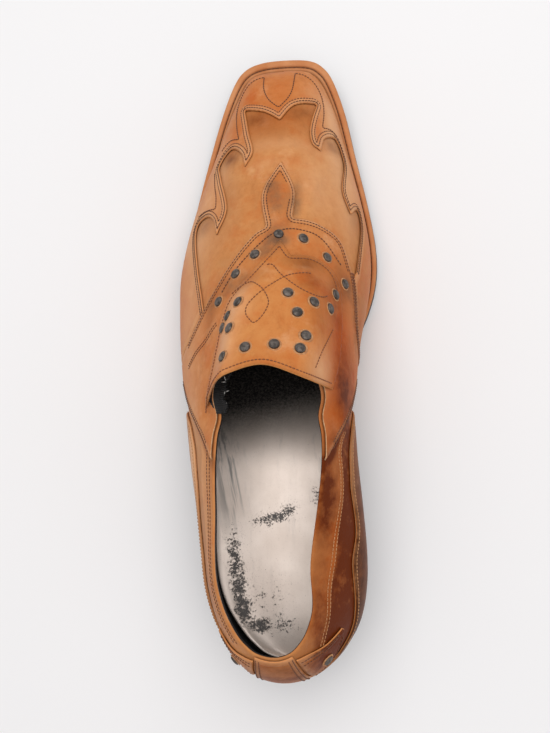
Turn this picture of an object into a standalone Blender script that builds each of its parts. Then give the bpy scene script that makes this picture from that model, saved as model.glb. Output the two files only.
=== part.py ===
"""Square-toe loafer for a left foot: a hollow upper on a welted sole with a stacked heel."""
from collections import namedtuple

import bmesh
import bpy
import numpy as np

MM = 0.001

# Sizes in millimetres; y runs from the heel to the toe and x from lateral to medial
OUTSOLE = 5.0
WELT = 3.0
INSOLE = 3.0
HEEL_RISE = 23.0
LIFT = 6.0
TOE_SPRING = 11.0
TREAD_FRONT = 50.0
TREAD_REAR = 18.0
SEAT_FRONT = -66.0
BREAST = -74.0
HEEL_TAPER = 2.5
WELT_LATERAL = -8.0
WELT_MEDIAL = 8.0
WALL = 2.2
FIT = 0.3
LEATHER = 1.2
SEAT = 0.5
COUNTER_SEAT = 0.8
SADDLE_LIFT = 2.3
FLAP_CROWN, FLAP_FALL, FLAP_ROUND = 3.0, 0.25, 5.0
FLAP_LATERAL, FLAP_MEDIAL = 10.0, 14.0
FLAP_FRONT, FLAP_FADE = 36.0, 22.0
STUD_RADIUS, STUD_HEIGHT, STUD_SIDES = 2.5, 1.1, 8
STUD_SEAT = 0.85
STRAP = 1.0
HEEL_STUD, HEEL_STUD_UP = 2.1, 0.37
SPINE_HEEL, SPINE_HEEL_RUN = -75.0, 38.0
SPINE_TOE, SPINE_TOE_RUN = 85.0, 36.0
BELLY_AT, LEAN_AT = 0.2, 0.5

RIBS_PER_SPAN = 2
THROAT_REAR, THROAT_FRONT = -50.0, 0.0
ROWS = 11
SADDLE_ROWS = 18

# Sole edge from the heel back to the toe front and how far the upper stands inside it
Edge = namedtuple("Edge", "y lateral medial welt_lat welt_med")
EDGES = (
    Edge(-154.2, 8.0, 8.0, 1.0, 1.0),
    Edge(-151.8, -3.8, 19.8, 1.0, 1.0),
    Edge(-146.0, -12.0, 28.2, 1.0, 1.0),
    Edge(-139.0, -18.0, 34.0, 1.0, 1.0),
    Edge(-128.0, -24.2, 39.6, 1.0, 1.0),
    Edge(-114.0, -28.8, 42.0, 1.0, 1.0),
    Edge(-98.0, -31.2, 41.6, 1.0, 1.0),
    Edge(-75.0, -34.0, 38.0, 1.0, 1.0),
    Edge(-50.0, -37.4, 33.4, 1.0, 1.0),
    Edge(-25.0, -42.6, 32.2, 1.4, 1.0),
    Edge(0.0, -48.6, 38.6, 3.2, 1.8),
    Edge(20.0, -51.7, 47.2, 4.8, 4.2),
    Edge(37.0, -52.3, 51.6, 5.4, 5.8),
    Edge(55.0, -50.0, 51.8, 5.8, 6.2),
    Edge(78.0, -44.6, 48.0, 6.0, 6.3),
    Edge(104.0, -37.6, 42.0, 6.2, 6.4),
    Edge(128.0, -30.2, 36.6, 6.6, 6.8),
    Edge(145.0, -23.2, 30.6, 7.4, 7.4),
    Edge(152.8, -17.0, 24.9, 8.0, 8.0),
    Edge(156.4, -8.0, 17.6, 8.2, 8.2),
    Edge(157.3, 5.0, 5.0, 8.2, 8.2),
)

# Line along the top of the last, carried on over the opening
Spine = namedtuple("Spine", "y x z")
SPINE = (
    Spine(-112.0, 4.0, 100.0),
    Spine(-60.0, 4.5, 107.0),
    Spine(-18.0, 6.0, 97.0),
    Spine(5.0, 6.0, 87.5),
    Spine(30.0, 5.6, 76.5),
    Spine(60.0, 5.2, 65.5),
    Spine(90.0, 5.0, 55.0),
    Spine(116.0, 5.0, 44.5),
    Spine(130.0, 5.0, 38.5),
)

# Shape of the ribs: steepness at the foot, bulge low on the wall, way to the spine half way up
Rib = namedtuple("Rib", "y rise_lat rise_med belly_lat belly_med lean_lat lean_med")
RIBS = (
    Rib(-154.0, 0.36, 0.36, 1.6, 1.6, 0.12, 0.12),
    Rib(-135.0, 0.36, 0.36, 1.0, 1.6, 0.18, 0.28),
    Rib(-105.0, 0.35, 0.35, 0.2, 1.8, 0.24, 0.45),
    Rib(-75.0, 0.34, 0.34, 0.4, 4.8, 0.34, 0.34),
    Rib(-50.0, 0.33, 0.33, 0.8, 7.6, 0.38, 0.15),
    Rib(-25.0, 0.35, 0.40, 0.2, 8.0, 0.32, -0.03),
    Rib(0.0, 0.38, 0.46, 0.0, 4.8, 0.30, 0.05),
    Rib(20.0, 0.40, 0.47, 0.0, 1.8, 0.30, 0.18),
    Rib(45.0, 0.41, 0.43, 0.2, 0.4, 0.28, 0.25),
    Rib(100.0, 0.46, 0.46, 0.2, 0.2, 0.23, 0.23),
    Rib(150.0, 0.56, 0.56, 0.0, 0.0, 0.23, 0.23),
)

# Height of the collar edge in side view
Collar = namedtuple("Collar", "y z")
COLLAR = (
    Collar(-160.0, 86.0),
    Collar(-140.0, 85.0),
    Collar(-125.0, 81.0),
    Collar(-105.0, 78.0),
    Collar(-70.0, 77.0),
    Collar(-43.0, 77.0),
    Collar(-28.0, 78.5),
    Collar(-15.0, 83.5),
    Collar(-8.0, 89.0),
    Collar(-3.0, 98.0),
    Collar(8.0, 140.0),
)

# Upper edge of the heel counter in side view
Brim = namedtuple("Brim", "y z")
COUNTER = (
    Brim(-160.0, 49.0),
    Brim(-138.0, 49.0),
    Brim(-122.0, 52.5),
    Brim(-102.0, 56.0),
    Brim(-88.0, 53.0),
    Brim(-66.0, 57.5),
    Brim(-46.0, 54.0),
    Brim(-36.0, 45.0),
    Brim(-31.0, 33.0),
)

# Inner edge of the toe wing seen from above, lateral rear to medial rear
Mark = namedtuple("Mark", "x y corner")
WING = (
    Mark(-28.8, 12.0, True),
    Mark(-34.5, 36.0, False),
    Mark(-38.3, 59.0, False),
    Mark(-32.0, 63.5, False),
    Mark(-26.7, 59.4, False),
    Mark(-24.4, 50.4, True),
    Mark(-19.6, 64.0, False),
    Mark(-24.2, 82.5, False),
    Mark(-26.0, 92.0, False),
    Mark(-19.4, 98.2, False),
    Mark(-13.2, 93.0, False),
    Mark(-10.9, 84.8, True),
    Mark(-7.0, 92.5, False),
    Mark(-10.0, 105.0, False),
    Mark(-13.1, 120.0, True),
    Mark(-2.5, 116.2, False),
    Mark(5.5, 110.6, True),
    Mark(12.3, 119.6, False),
    Mark(23.0, 122.4, True),
    Mark(20.1, 107.9, False),
    Mark(21.2, 98.0, False),
    Mark(25.4, 94.5, True),
    Mark(27.0, 102.6, False),
    Mark(32.4, 105.6, False),
    Mark(36.1, 93.0, False),
    Mark(35.4, 76.0, False),
    Mark(39.5, 63.7, True),
    Mark(42.6, 68.5, False),
    Mark(44.2, 58.0, False),
    Mark(41.9, 33.7, True),
)

# Front edge of the apron with its spade, lateral side to medial side
APRON = (
    Mark(-60.0, -25.0, True),
    Mark(-38.6, -1.2, False),
    Mark(-25.7, 17.5, False),
    Mark(-15.0, 33.3, False),
    Mark(-4.7, 45.5, False),
    Mark(1.3, 49.2, True),
    Mark(-1.0, 67.0, False),
    Mark(7.2, 82.8, True),
    Mark(14.0, 69.0, False),
    Mark(13.6, 54.5, True),
    Mark(25.0, 53.1, False),
    Mark(34.6, 47.1, False),
    Mark(39.6, 32.0, False),
    Mark(43.0, 16.0, False),
    Mark(56.0, -14.0, True),
)

# Rear edge of the apron on the quarters in side view
LEAF = (
    Brim(-8.0, 12.0),
    Brim(-21.0, 39.0),
    Brim(-32.0, 52.0),
    Brim(-40.0, 61.5),
    Brim(-48.0, 69.0),
    Brim(-62.0, 81.0),
)

# Outline of the saddle flap seen from above
SADDLE = (
    Mark(-25.5, -35.0, True),
    Mark(-20.5, -14.0, False),
    Mark(-18.0, 2.0, False),
    Mark(-14.5, 14.0, False),
    Mark(-2.8, 27.0, False),
    Mark(9.5, 40.6, True),
    Mark(13.7, 33.4, True),
    Mark(22.7, 34.4, False),
    Mark(30.5, 30.0, False),
    Mark(34.5, 22.0, False),
    Mark(35.5, 8.0, False),
    Mark(34.6, -12.0, False),
    Mark(31.6, -26.6, True),
    Mark(21.5, -24.4, False),
    Mark(4.8, -18.9, False),
    Mark(-9.8, -22.0, False),
    Mark(-18.4, -27.0, False),
    Mark(-25.5, -35.0, True),
)

# Studs seen from above, and how many layers of leather lie under each
Stud = namedtuple("Stud", "x y layers")
STUDS = (
    Stud(-20.0, 14.8, 1), Stud(-11.8, 27.0, 1), Stud(-2.8, 35.3, 1), Stud(7.8, 45.0, 1),
    Stud(18.7, 43.6, 1), Stud(29.2, 35.9, 1), Stud(37.0, 24.4, 1),
    Stud(13.7, 14.1, 2), Stud(24.8, 10.1, 2), Stud(33.2, 16.8, 2), Stud(31.2, 9.0, 2),
    Stud(18.0, 4.8, 2), Stud(21.9, -5.9, 2), Stud(19.7, -11.7, 2), Stud(9.1, -10.0, 2),
    Stud(-3.2, -10.9, 2), Stud(-13.1, -14.4, 2), Stud(-8.2, 10.8, 2),
    Stud(-13.2, 5.3, 2), Stud(-11.2, -1.4, 2), Stud(-15.6, 0.2, 2),
)

# Scrolls on both sides of the back strap: place round the heel and heights of their edges
Scroll = namedtuple("Scroll", "span low high")
SCROLL = (
    Scroll(1.06, 52.0, 81.0),
    Scroll(1.6, 52.5, 78.0),
    Scroll(2.2, 53.5, 73.0),
    Scroll(2.9, 55.5, 67.0),
    Scroll(3.6, 58.5, 61.0),
)


def column(rows, name):
    """One named column of a table as an array."""
    return np.array([getattr(row, name) for row in rows], float)


def through(stations, values, at):
    """Smooth curve through a table, flat where the table turns round."""
    slope = np.gradient(values, stations)
    step = np.diff(values) / np.diff(stations)
    turn = np.append(step[0], step) * np.append(step, step[-1]) <= 0
    slope[turn] = 0.0
    slope[0], slope[-1] = step[0], step[-1]
    at = np.clip(at, stations[0], stations[-1])
    k = np.clip(np.searchsorted(stations, at, side="right") - 1, 0, len(stations) - 2)
    width = stations[k + 1] - stations[k]
    f = (at - stations[k]) / width
    rise = values[k + 1] - values[k]
    bend_a = slope[k] * width - rise
    bend_b = rise - slope[k + 1] * width
    return values[k] + f * rise + f * (1 - f) * ((1 - f) * bend_a + f * bend_b)


def ring(lateral, medial, s):
    """Closed smooth curve: lateral column from heel to toe, then medial column back to the heel."""
    knots = np.concatenate([lateral, medial[-2:0:-1]])
    n = len(knots)
    k = np.floor(s).astype(int)
    f = s - k
    a, b, c, d = (knots[(k + i) % n] for i in (-1, 0, 1, 2))
    return b + 0.5 * f * (c - a + f * (2 * a - 5 * b + 4 * c - d + f * (3 * (b - c) + d - a)))


SPANS = len(EDGES) - 1
TURN = 2.0 * SPANS


def sole_edge(s, inset=0.0):
    """Plan points of the sole's edge, moved inwards by a distance."""
    def plan(q):
        x = ring(column(EDGES, "lateral"), column(EDGES, "medial"), q)
        return np.stack([x, station(q)], -1)
    along = plan(s + 0.02) - plan(s - 0.02)
    along /= np.linalg.norm(along, axis=-1, keepdims=True)
    inwards = np.stack([along[..., 1], -along[..., 0]], -1)
    return plan(s) + inwards * np.asarray(inset)[..., None], inwards


def station(s):
    """Station of a place on the ring, the same on both sides."""
    return ring(column(EDGES, "y"), column(EDGES, "y"), s)


def welt_margin(s):
    """Distance from the sole's edge in to the foot of the upper."""
    return ring(column(EDGES, "welt_lat"), column(EDGES, "welt_med"), s)


def sole_z(y):
    """Underside of the outsole: toe spring, flat tread and arch up to the heel seat."""
    toe = np.clip((y - TREAD_FRONT) / (EDGES[-1].y - TREAD_FRONT), 0, 1)
    arch = np.clip((TREAD_REAR - y) / (TREAD_REAR - SEAT_FRONT), 0, 1)
    return TOE_SPRING * toe ** 1.8 + HEEL_RISE * arch * arch * (3 - 2 * arch)


def span_at(y):
    """Place along the lateral side of the ring where the sole's edge passes a station."""
    s = np.linspace(0, SPANS, 2001)
    return np.interp(y, station(s), s)


def rib_places():
    """Places of the ribs from heel to toe, closer together where the collar drops to the quarters."""
    even = np.arange(0, SPANS * RIBS_PER_SPAN + 1) / RIBS_PER_SPAN
    between = (even[:-1] + even[1:]) / 2
    near = (station(between) > THROAT_REAR) & (station(between) < THROAT_FRONT)
    return np.sort(np.concatenate([even, between[near]]))


def round_ring(places):
    """Places on both sides: out along the lateral side and back along the medial side."""
    return np.concatenate([places, TURN - places[-2:0:-1]])


def spine_y(y):
    """Station on the spine for a station on the sole, eased to a stop before each end."""
    over = np.maximum(y - SPINE_TOE, 0)
    under = np.maximum(SPINE_HEEL - y, 0)
    front = SPINE_TOE + SPINE_TOE_RUN * (1 - np.exp(-over / SPINE_TOE_RUN))
    back = SPINE_HEEL - SPINE_HEEL_RUN * (1 - np.exp(-under / SPINE_HEEL_RUN))
    return np.where(y > SPINE_TOE, front, np.where(y < SPINE_HEEL, back, y))


def rib_shape(s, y, name):
    """Blend of the lateral and the medial column of the rib table round the ring."""
    stations = column(RIBS, "y")
    lateral = through(stations, column(RIBS, name + "_lat"), y)
    medial = through(stations, column(RIBS, name + "_med"), y)
    return np.where((s % TURN) <= SPANS, lateral, medial)


def blend(nodes, knots, t):
    """Curve of the lowest degree through points at the given places along it."""
    total = 0.0
    for i, knot in enumerate(knots):
        others = [n for j, n in enumerate(nodes) if j != i]
        weight = np.prod([(t - n) / (nodes[i] - n) for n in others], axis=0)
        total = total + knot * weight[..., None]
    return total


def spine_point(y):
    """Plan position, height and slope of the spine at a station."""
    stations, heights = column(SPINE, "y"), column(SPINE, "z")
    x = through(stations, column(SPINE, "x"), y)
    z = through(stations, heights, y)
    slope = through(stations, heights, y + 0.5) - through(stations, heights, y - 0.5)
    return np.stack([x, y], -1), z, slope


def rib_point(s, t):
    """Point of the last's surface: t runs up a rib from the sole to the spine."""
    s, t = np.broadcast_arrays(np.asarray(s, float), np.asarray(t, float))
    foot, inwards = sole_edge(s, welt_margin(s))
    y = station(s)
    z_foot = sole_z(foot[..., 1]) + OUTSOLE + FIT
    top, z_top, slope = spine_point(spine_y(y))
    belly = foot - inwards * rib_shape(s, y, "belly")[..., None]
    lean = foot + (top - foot) * rib_shape(s, y, "lean")[..., None]
    nodes, knots = (0.0, BELLY_AT, LEAN_AT, 1.0), (foot, belly, lean, top)
    plan = blend(nodes, knots, t)
    arrive = (top - blend(nodes, knots, np.full_like(t, 0.99))) / 0.01
    z_low = z_foot + rib_shape(s, y, "rise") * (z_top - z_foot)
    z_high = z_top - slope * arrive[..., 1] / 3
    q = 1 - t
    z = z_foot * q ** 3 + 3 * z_low * q * q * t + 3 * z_high * q * t * t + z_top * t ** 3
    return np.concatenate([plan, z[..., None]], -1)


def rib_where(s, cut):
    """Height up each rib where it first passes a side-view line, one where it never does."""
    t = np.linspace(0, 1, 401)
    p = rib_point(s[:, None], t[None, :])
    over = p[..., 2] - cut(p[..., 1])
    hit = over > 0
    first = np.argmax(hit, axis=1)
    k = np.clip(first, 1, None)
    rows = np.arange(len(s))
    a, b = over[rows, k - 1], over[rows, k]
    where = t[k - 1] + (t[k] - t[k - 1]) * np.clip(-a / (b - a), 0, 1)
    return np.where(hit.any(axis=1), where, 1.0)


def collar_z(y):
    """Height of the collar edge at a station."""
    return through(column(COLLAR, "y"), column(COLLAR, "z"), y)


def spine_normal(s):
    """Direction square to the spine, in the plane that holds it."""
    _, z, slope = spine_point(spine_y(station(s)))
    normal = np.stack([np.zeros_like(z), -slope, np.ones_like(z)], -1)
    return normal / np.linalg.norm(normal, axis=-1, keepdims=True)


def lifted(s, t, lift):
    """Grid of points at a distance outside the last's surface."""
    s, t = np.broadcast_arrays(np.asarray(s, float), np.asarray(t, float))
    e = 0.004
    up = rib_point(s, np.clip(t + e, 0, 1)) - rib_point(s, np.clip(t - e, 0, 1))
    along = rib_point(s + 0.05, t) - rib_point(s - 0.05, t)
    normal = np.cross(up, along)
    normal /= np.maximum(np.linalg.norm(normal, axis=-1, keepdims=True), 1e-9)
    normal = np.where((t > 1 - 1e-6)[..., None], spine_normal(s), normal)
    return rib_point(s, t) + normal * np.asarray(lift)[..., None]


def ease(u):
    """Smooth step from zero to one."""
    u = np.clip(u, 0, 1)
    return u * u * (3 - 2 * u)


def flap_point(s, t, lift):
    """Point of the saddle: it leaves the last along its two sides and stands up as a crowned top."""
    p = lifted(s, t, SADDLE_LIFT + lift)
    x, y, z = np.moveaxis(p, -1, 0)
    lateral, medial = SADDLE[:6], SADDLE[12:6:-1]
    left = x - np.interp(y, column(lateral, "y"), column(lateral, "x"))
    right = np.interp(y, column(medial, "y"), column(medial, "x")) - x
    middle, top, _ = spine_point(y)
    fall = np.hypot(x - middle[..., 0], FLAP_ROUND) - FLAP_ROUND
    crown = top + SADDLE_LIFT + lift + FLAP_CROWN - FLAP_FALL * fall
    free = ease(left / FLAP_LATERAL) * ease(right / FLAP_MEDIAL) * ease((FLAP_FRONT - y) / FLAP_FADE)
    return np.stack([x, y, z + free * np.maximum(crown - z, 0)], -1)


def clear_scene():
    """Take every object out of the scene."""
    for thing in list(bpy.data.objects):
        bpy.data.objects.remove(thing, do_unlink=True)


def group(name, hidden=False):
    """Collection that holds one set of objects."""
    made = bpy.data.collections.new(name)
    bpy.context.scene.collection.children.link(made)
    made.hide_render = hidden
    return made


def material(name, colour, roughness):
    """Plain material of one colour."""
    made = bpy.data.materials.new(name)
    made.use_nodes = True
    shader = made.node_tree.nodes["Principled BSDF"]
    shader.inputs["Base Color"].default_value = (*colour, 1.0)
    shader.inputs["Roughness"].default_value = roughness
    return made


def add_mesh(name, points, faces, where, look=None):
    """Object from points in millimetres, doubled points joined and faces turned outwards."""
    mesh = bpy.data.meshes.new(name)
    mesh.from_pydata((np.asarray(points).reshape(-1, 3) * MM).tolist(), [], faces)
    made = bpy.data.objects.new(name, mesh)
    where.objects.link(made)
    if look:
        mesh.materials.append(look)
    bm = bmesh.new()
    bm.from_mesh(mesh)
    bmesh.ops.remove_doubles(bm, verts=bm.verts, dist=0.00001)
    bmesh.ops.dissolve_degenerate(bm, edges=bm.edges, dist=0.00001)
    bmesh.ops.recalc_face_normals(bm, faces=bm.faces)
    bm.to_mesh(mesh)
    bm.free()
    return made


def grid_faces(columns, rows, closed):
    """Quads of a grid of points, the last column joined to the first when closed."""
    faces = []
    for i in range(columns if closed else columns - 1):
        k = (i + 1) % columns
        for j in range(rows - 1):
            faces.append((i * rows + j, k * rows + j, k * rows + j + 1, i * rows + j + 1))
    return faces


def loft(name, sections, where, look):
    """Closed body through sections of equal length, with flat ends."""
    count, size = sections.shape[:2]
    faces = []
    for i in range(count - 1):
        for j in range(size):
            k = (j + 1) % size
            faces.append((i * size + j, (i + 1) * size + j, (i + 1) * size + k, i * size + k))
    faces.append(tuple(range(size)))
    faces.append(tuple(range((count - 1) * size, count * size)))
    return add_mesh(name, sections, faces, where, look)


def slab(name, s, inset_low, inset_high, low, high, where, look):
    """Body across the sole's outline from one station to another between two heights."""
    corners = []
    for side in (s, TURN - s):
        a, _ = sole_edge(side, inset_low(side))
        b, _ = sole_edge(side, inset_high(side))
        corners.append(np.column_stack([a, low(a[:, 1])]))
        corners.append(np.column_stack([b, high(b[:, 1])]))
    lat_low, lat_high, med_low, med_high = corners
    sections = np.stack([lat_low, med_low, med_high, lat_high], axis=1)
    return loft(name, sections, where, look)


def even_rows(low, high, rows):
    """Heights up each rib, evenly spaced between two of them."""
    return low[:, None] + (high - low)[:, None] * np.linspace(0, 1, rows)[None, :]


def upper_rows(s):
    """Heights of the upper's own rows of points, from the sole to the collar or the spine."""
    return even_rows(np.zeros_like(s), rib_where(s, collar_z), ROWS)


def rows_over_welt(s):
    """The upper's own rows, the lowest raised just clear of the welt."""
    rows = upper_rows(s)
    clear = rib_where(s, lambda y: sole_z(y) + OUTSOLE + WELT + 1.0)
    rows[:, 0] = np.minimum(clear, 0.8 * rows[:, 1])
    return rows


def make_sole(where, looks):
    """Outsole, heel block, top lift, welt and insole."""
    whole = rib_places()
    seat = np.linspace(0, span_at(BREAST), 15)

    def none(s):
        return np.zeros_like(s)

    def taper(height):
        return lambda s: np.full_like(s, 0.8 + HEEL_TAPER * (1 - height / HEEL_RISE))

    def flat(height):
        return lambda y: np.full_like(y, height)

    def in_upper(s):
        return welt_margin(s) + WALL + 0.5

    slab("outsole", whole, none, none, sole_z, lambda y: sole_z(y) + OUTSOLE, where, looks["sole"])
    slab("heel_block", seat, taper(LIFT), taper(HEEL_RISE), flat(LIFT + 0.02),
         flat(HEEL_RISE - 0.02), where, looks["heel"])
    slab("top_lift", seat, taper(0), taper(LIFT), flat(0.0), flat(LIFT), where, looks["lift"])
    slab("insole", whole, in_upper, in_upper, lambda y: sole_z(y) + OUTSOLE + FIT,
         lambda y: sole_z(y) + OUTSOLE + INSOLE, where, looks["insole"])


def make_welt(where, look):
    """Strip on the outsole from waist to waist, fitted round the foot of the upper."""
    ends = np.round(RIBS_PER_SPAN * np.array([span_at(WELT_LATERAL), TURN - span_at(WELT_MEDIAL)]))
    s = np.arange(ends[0], ends[1] + 1) / RIBS_PER_SPAN
    outer, inwards = sole_edge(s, np.full_like(s, 0.3))
    foot, _ = sole_edge(s, welt_margin(s))
    wall = rib_point(s[:, None], np.linspace(0, 0.12, 7)[None, :])
    reach = np.sum((foot[:, None, :] - wall[..., :2]) * inwards[:, None, :], -1)
    level = sole_z(foot[:, 1:]) + OUTSOLE + WELT + 1.5
    reach = np.where(wall[..., 2] < level, reach, 0).max(axis=1)
    inner, _ = sole_edge(s, np.maximum(welt_margin(s) - reach - FIT, 0.8))
    corner = []
    for edge, rise in ((outer, 0.1), (outer, WELT), (inner, WELT), (inner, 0.1)):
        corner.append(np.column_stack([edge, sole_z(edge[:, 1]) + OUTSOLE + rise]))
    return loft("welt", np.stack(corner, axis=1), where, look)


def make_upper(where, look):
    """Vamp and quarters: one wall over the last, open at the collar and underneath."""
    s = round_ring(rib_places())
    points = rib_point(s[:, None], upper_rows(s))
    upper = add_mesh("upper", points, grid_faces(len(s), ROWS, True), where, look)
    wall = upper.modifiers.new("wall", "SOLIDIFY")
    wall.thickness = WALL * MM
    wall.offset = -1.0
    wall.use_even_offset = True
    return upper


def traced(marks, steps=3):
    """Points along a table of marks, rounded between corners and sharp at them."""
    xy = np.column_stack([column(marks, "x"), column(marks, "y")])
    sharp = column(marks, "corner") > 0
    points = []
    for i in range(len(marks) - 1):
        b, c = xy[i], xy[i + 1]
        a = 2 * b - c if sharp[i] else xy[i - 1]
        d = 2 * c - b if sharp[i + 1] else xy[i + 2]
        f = np.arange(steps)[:, None] / steps
        bend = f * (2 * a - 5 * b + 4 * c - d + f * (3 * (b - c) + d - a))
        points.append(b + 0.5 * f * (c - a + bend))
    return np.concatenate(points + [xy[-1:]])


def prism(name, outline, low, high, axis, cutters):
    """Cutter with a traced outline, carried along one axis."""
    flat = [np.column_stack([outline, np.full(len(outline), h)]) for h in (low, high)]
    if axis == "x":
        flat = [layer[:, [2, 0, 1]] for layer in flat]
    made = loft(name, np.stack(flat), cutters, None)
    made.display_type = "WIRE"
    return made


def cut(target, cutter, operation):
    """Boolean of one object by another."""
    step = target.modifiers.new(cutter.name, "BOOLEAN")
    step.operation = operation
    step.solver = "EXACT"
    step.object = cutter


def cover(name, points, where, look):
    """Layer of leather on a grid of points over the upper."""
    made = add_mesh(name, points, grid_faces(*points.shape[:2], False), where, look)
    layer = made.modifiers.new("leather", "SOLIDIFY")
    layer.thickness = LEATHER * MM
    layer.offset = 1.0
    return made


def front_ribs(y):
    """Places round the toe in front of a station."""
    places = rib_places()
    front = places[station(places) >= y]
    return np.concatenate([front, TURN - front[-2::-1]])


def rear_ribs(y):
    """Places round the heel behind a station, medial side first."""
    places = rib_places()
    rear = places[station(places) <= y]
    return np.concatenate([TURN - rear[:0:-1], rear])


def make_overlays(where, cutters, looks):
    """Toe wing, apron and saddle cut from layers over the upper."""
    leather = looks["overlay"]
    closing = np.array([[41.9, -60.0], [-28.8, -60.0]])
    inside = prism("wing_inside", np.vstack([traced(WING), closing]), 0, 120, "z", cutters)
    behind = np.array([[56.0, -95.0], [-60.0, -95.0]])
    apron_edge = np.vstack([traced(APRON), behind])
    apron_plan = prism("apron_plan", apron_edge, 0, 120, "z", cutters)
    apron_gap = prism("apron_gap", apron_edge + (0.0, 0.5), 0, 120, "z", cutters)
    leaf = np.column_stack([column(LEAF, "y"), column(LEAF, "z")])
    leaf = np.vstack([leaf, [[-160.0, 81.0], [-160.0, 12.0]]])
    rear = prism("leaf_rear", leaf, -80, 80, "x", cutters)
    saddle_plan = prism("saddle_plan", traced(SADDLE)[:-1], 0, 130, "z", cutters)

    s = front_ribs(0.0)
    wing = cover("toe_wing", lifted(s[:, None], rows_over_welt(s), SEAT), where, leather)
    cut(wing, inside, "DIFFERENCE")
    cut(wing, apron_gap, "DIFFERENCE")

    s = front_ribs(-76.0)
    apron = cover("apron", lifted(s[:, None], rows_over_welt(s), SEAT), where, leather)
    cut(apron, rear, "DIFFERENCE")
    cut(apron, apron_plan, "INTERSECT")

    s = front_ribs(-51.0)
    rows = even_rows(np.full_like(s, 0.35), np.ones_like(s), SADDLE_ROWS)
    saddle = cover("saddle", flap_point(s[:, None], rows, 0.0), where, looks["saddle"])
    cut(saddle, saddle_plan, "INTERSECT")


def make_heel_pieces(where, looks):
    """Counter, back strap and the two scrolls beside it, laid on the quarters."""
    def counter_z(y):
        return through(column(COUNTER, "y"), column(COUNTER, "z"), y)

    s = rear_ribs(COUNTER[-1].y)
    low = rib_where(s, lambda y: sole_z(y) + OUTSOLE + 1.2)
    rows = even_rows(low, rib_where(s, counter_z), 7)
    cover("counter", lifted(s[:, None], rows, COUNTER_SEAT), where, looks["counter"])
    s = np.linspace(TURN - STRAP, TURN + STRAP, 5)
    low = rib_where(s, lambda y: counter_z(y) + 1.0)
    high = rib_where(s, lambda y: collar_z(y) - 0.6)
    rows = even_rows(low, high, 6)
    cover("back_strap", lifted(s[:, None], rows, SEAT), where, looks["overlay"])
    for side, turn in (("lat", 0.0), ("med", TURN)):
        s = np.abs(turn - column(SCROLL, "span"))
        low = rib_where(s, lambda y: column(SCROLL, "low")[:, None])
        high = rib_where(s, lambda y: column(SCROLL, "high")[:, None])
        rows = even_rows(low, high, 5)
        cover("heel_scroll_" + side, lifted(s[:, None], rows, SEAT), where, looks["overlay"])


def layer_top(s, t, layers):
    """Outside of the leather at a place: one layer over the last, or two where the saddle lies."""
    lift = LEATHER + STUD_SEAT
    return flap_point(s, t, lift) if layers == 2 else lifted(s, t, SEAT + lift)


def stud(name, s, t, layers, where, look):
    """Low metal dome set square on the leather, high enough to clear a hollow round its rim."""
    base = layer_top(s, t, layers)
    up = (layer_top(s, t + 0.01, layers) - layer_top(s, t - 0.01, layers)) / 0.02
    along = (layer_top(s + 0.05, t, layers) - layer_top(s - 0.05, t, layers)) / 0.1
    normal = np.cross(up, along)
    normal /= np.linalg.norm(normal)
    angle = np.arange(STUD_SIDES) * 2 * np.pi / STUD_SIDES
    rim_s = s + 1.2 * STUD_RADIUS * np.cos(angle) / np.linalg.norm(along)
    rim_t = t + 1.2 * STUD_RADIUS * np.sin(angle) / np.linalg.norm(up)
    rim = layer_top(rim_s, np.minimum(rim_t, 0.99), layers) - base
    base = base + normal * max((rim @ normal).max(), 0.0)
    side = np.cross(normal, (0.0, 1.0, 0.0))
    side /= np.linalg.norm(side)
    other = np.cross(normal, side)
    circle = np.cos(angle)[:, None] * side + np.sin(angle)[:, None] * other
    profile = ((0.95, 0.0), (1.0, 0.35), (0.62, 0.85))
    rings = [base + circle * STUD_RADIUS * r + normal * STUD_HEIGHT * h for r, h in profile]
    loft(name, np.stack(rings), where, look)


def make_studs(where, look):
    """Every stud of the apron, the saddle and the heel scrolls."""
    s, t = np.meshgrid(np.arange(0, TURN, 0.02), np.linspace(0.3, 0.98, 273), indexing="ij")
    plans = {layers: layer_top(s, t, layers)[..., :2] for layers in (1, 2)}
    for i, row in enumerate(STUDS):
        k = np.argmin(np.sum((plans[row.layers] - (row.x, row.y)) ** 2, -1))
        stud("stud_%02d" % i, s.flat[k], t.flat[k], row.layers, where, look)
    for i, place in enumerate((HEEL_STUD, TURN - HEEL_STUD)):
        stud("heel_stud_%d" % i, place, HEEL_STUD_UP, 1, where, look)


def main():
    """Make every piece of the shoe."""
    clear_scene()
    shoe = group("square_toe_loafer")
    looks = {
        "sole": material("dark sole", (0.03, 0.02, 0.015), 0.5),
        "heel": material("stacked heel", (0.035, 0.022, 0.015), 0.5),
        "lift": material("black rubber", (0.015, 0.015, 0.015), 0.7),
        "insole": material("silver sock", (0.62, 0.55, 0.52), 0.4),
        "welt": material("welt", (0.45, 0.20, 0.09), 0.5),
        "upper": material("tan leather", (0.50, 0.22, 0.07), 0.45),
        "overlay": material("overlay leather", (0.46, 0.19, 0.06), 0.45),
        "saddle": material("saddle leather", (0.50, 0.20, 0.06), 0.45),
        "counter": material("counter leather", (0.22, 0.08, 0.03), 0.45),
        "stud": material("pewter", (0.10, 0.10, 0.11), 0.35),
    }
    cutters = group("cutters", hidden=True)
    make_sole(shoe, looks)
    make_welt(shoe, looks["welt"])
    make_upper(shoe, looks["upper"])
    make_overlays(shoe, cutters, looks)
    make_heel_pieces(shoe, looks)
    make_studs(shoe, looks["stud"])


main()
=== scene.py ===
# %% [markdown]
# # A square-toe loafer in antiqued tan leather
# One left shoe is dressed here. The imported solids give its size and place; this lesson lays finer
# leather, thread and metal over them. Most surfaces come from the same short tables as the solids, so
# each new piece lies where its solid lies. The tips of the spade and the saddle, the wing's tail and the
# toe's wall follow the photograph more closely than the solids do.

# %% The frame
from collections import namedtuple

import bmesh
import bpy
import numpy as np
from mathutils import Matrix


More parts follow.
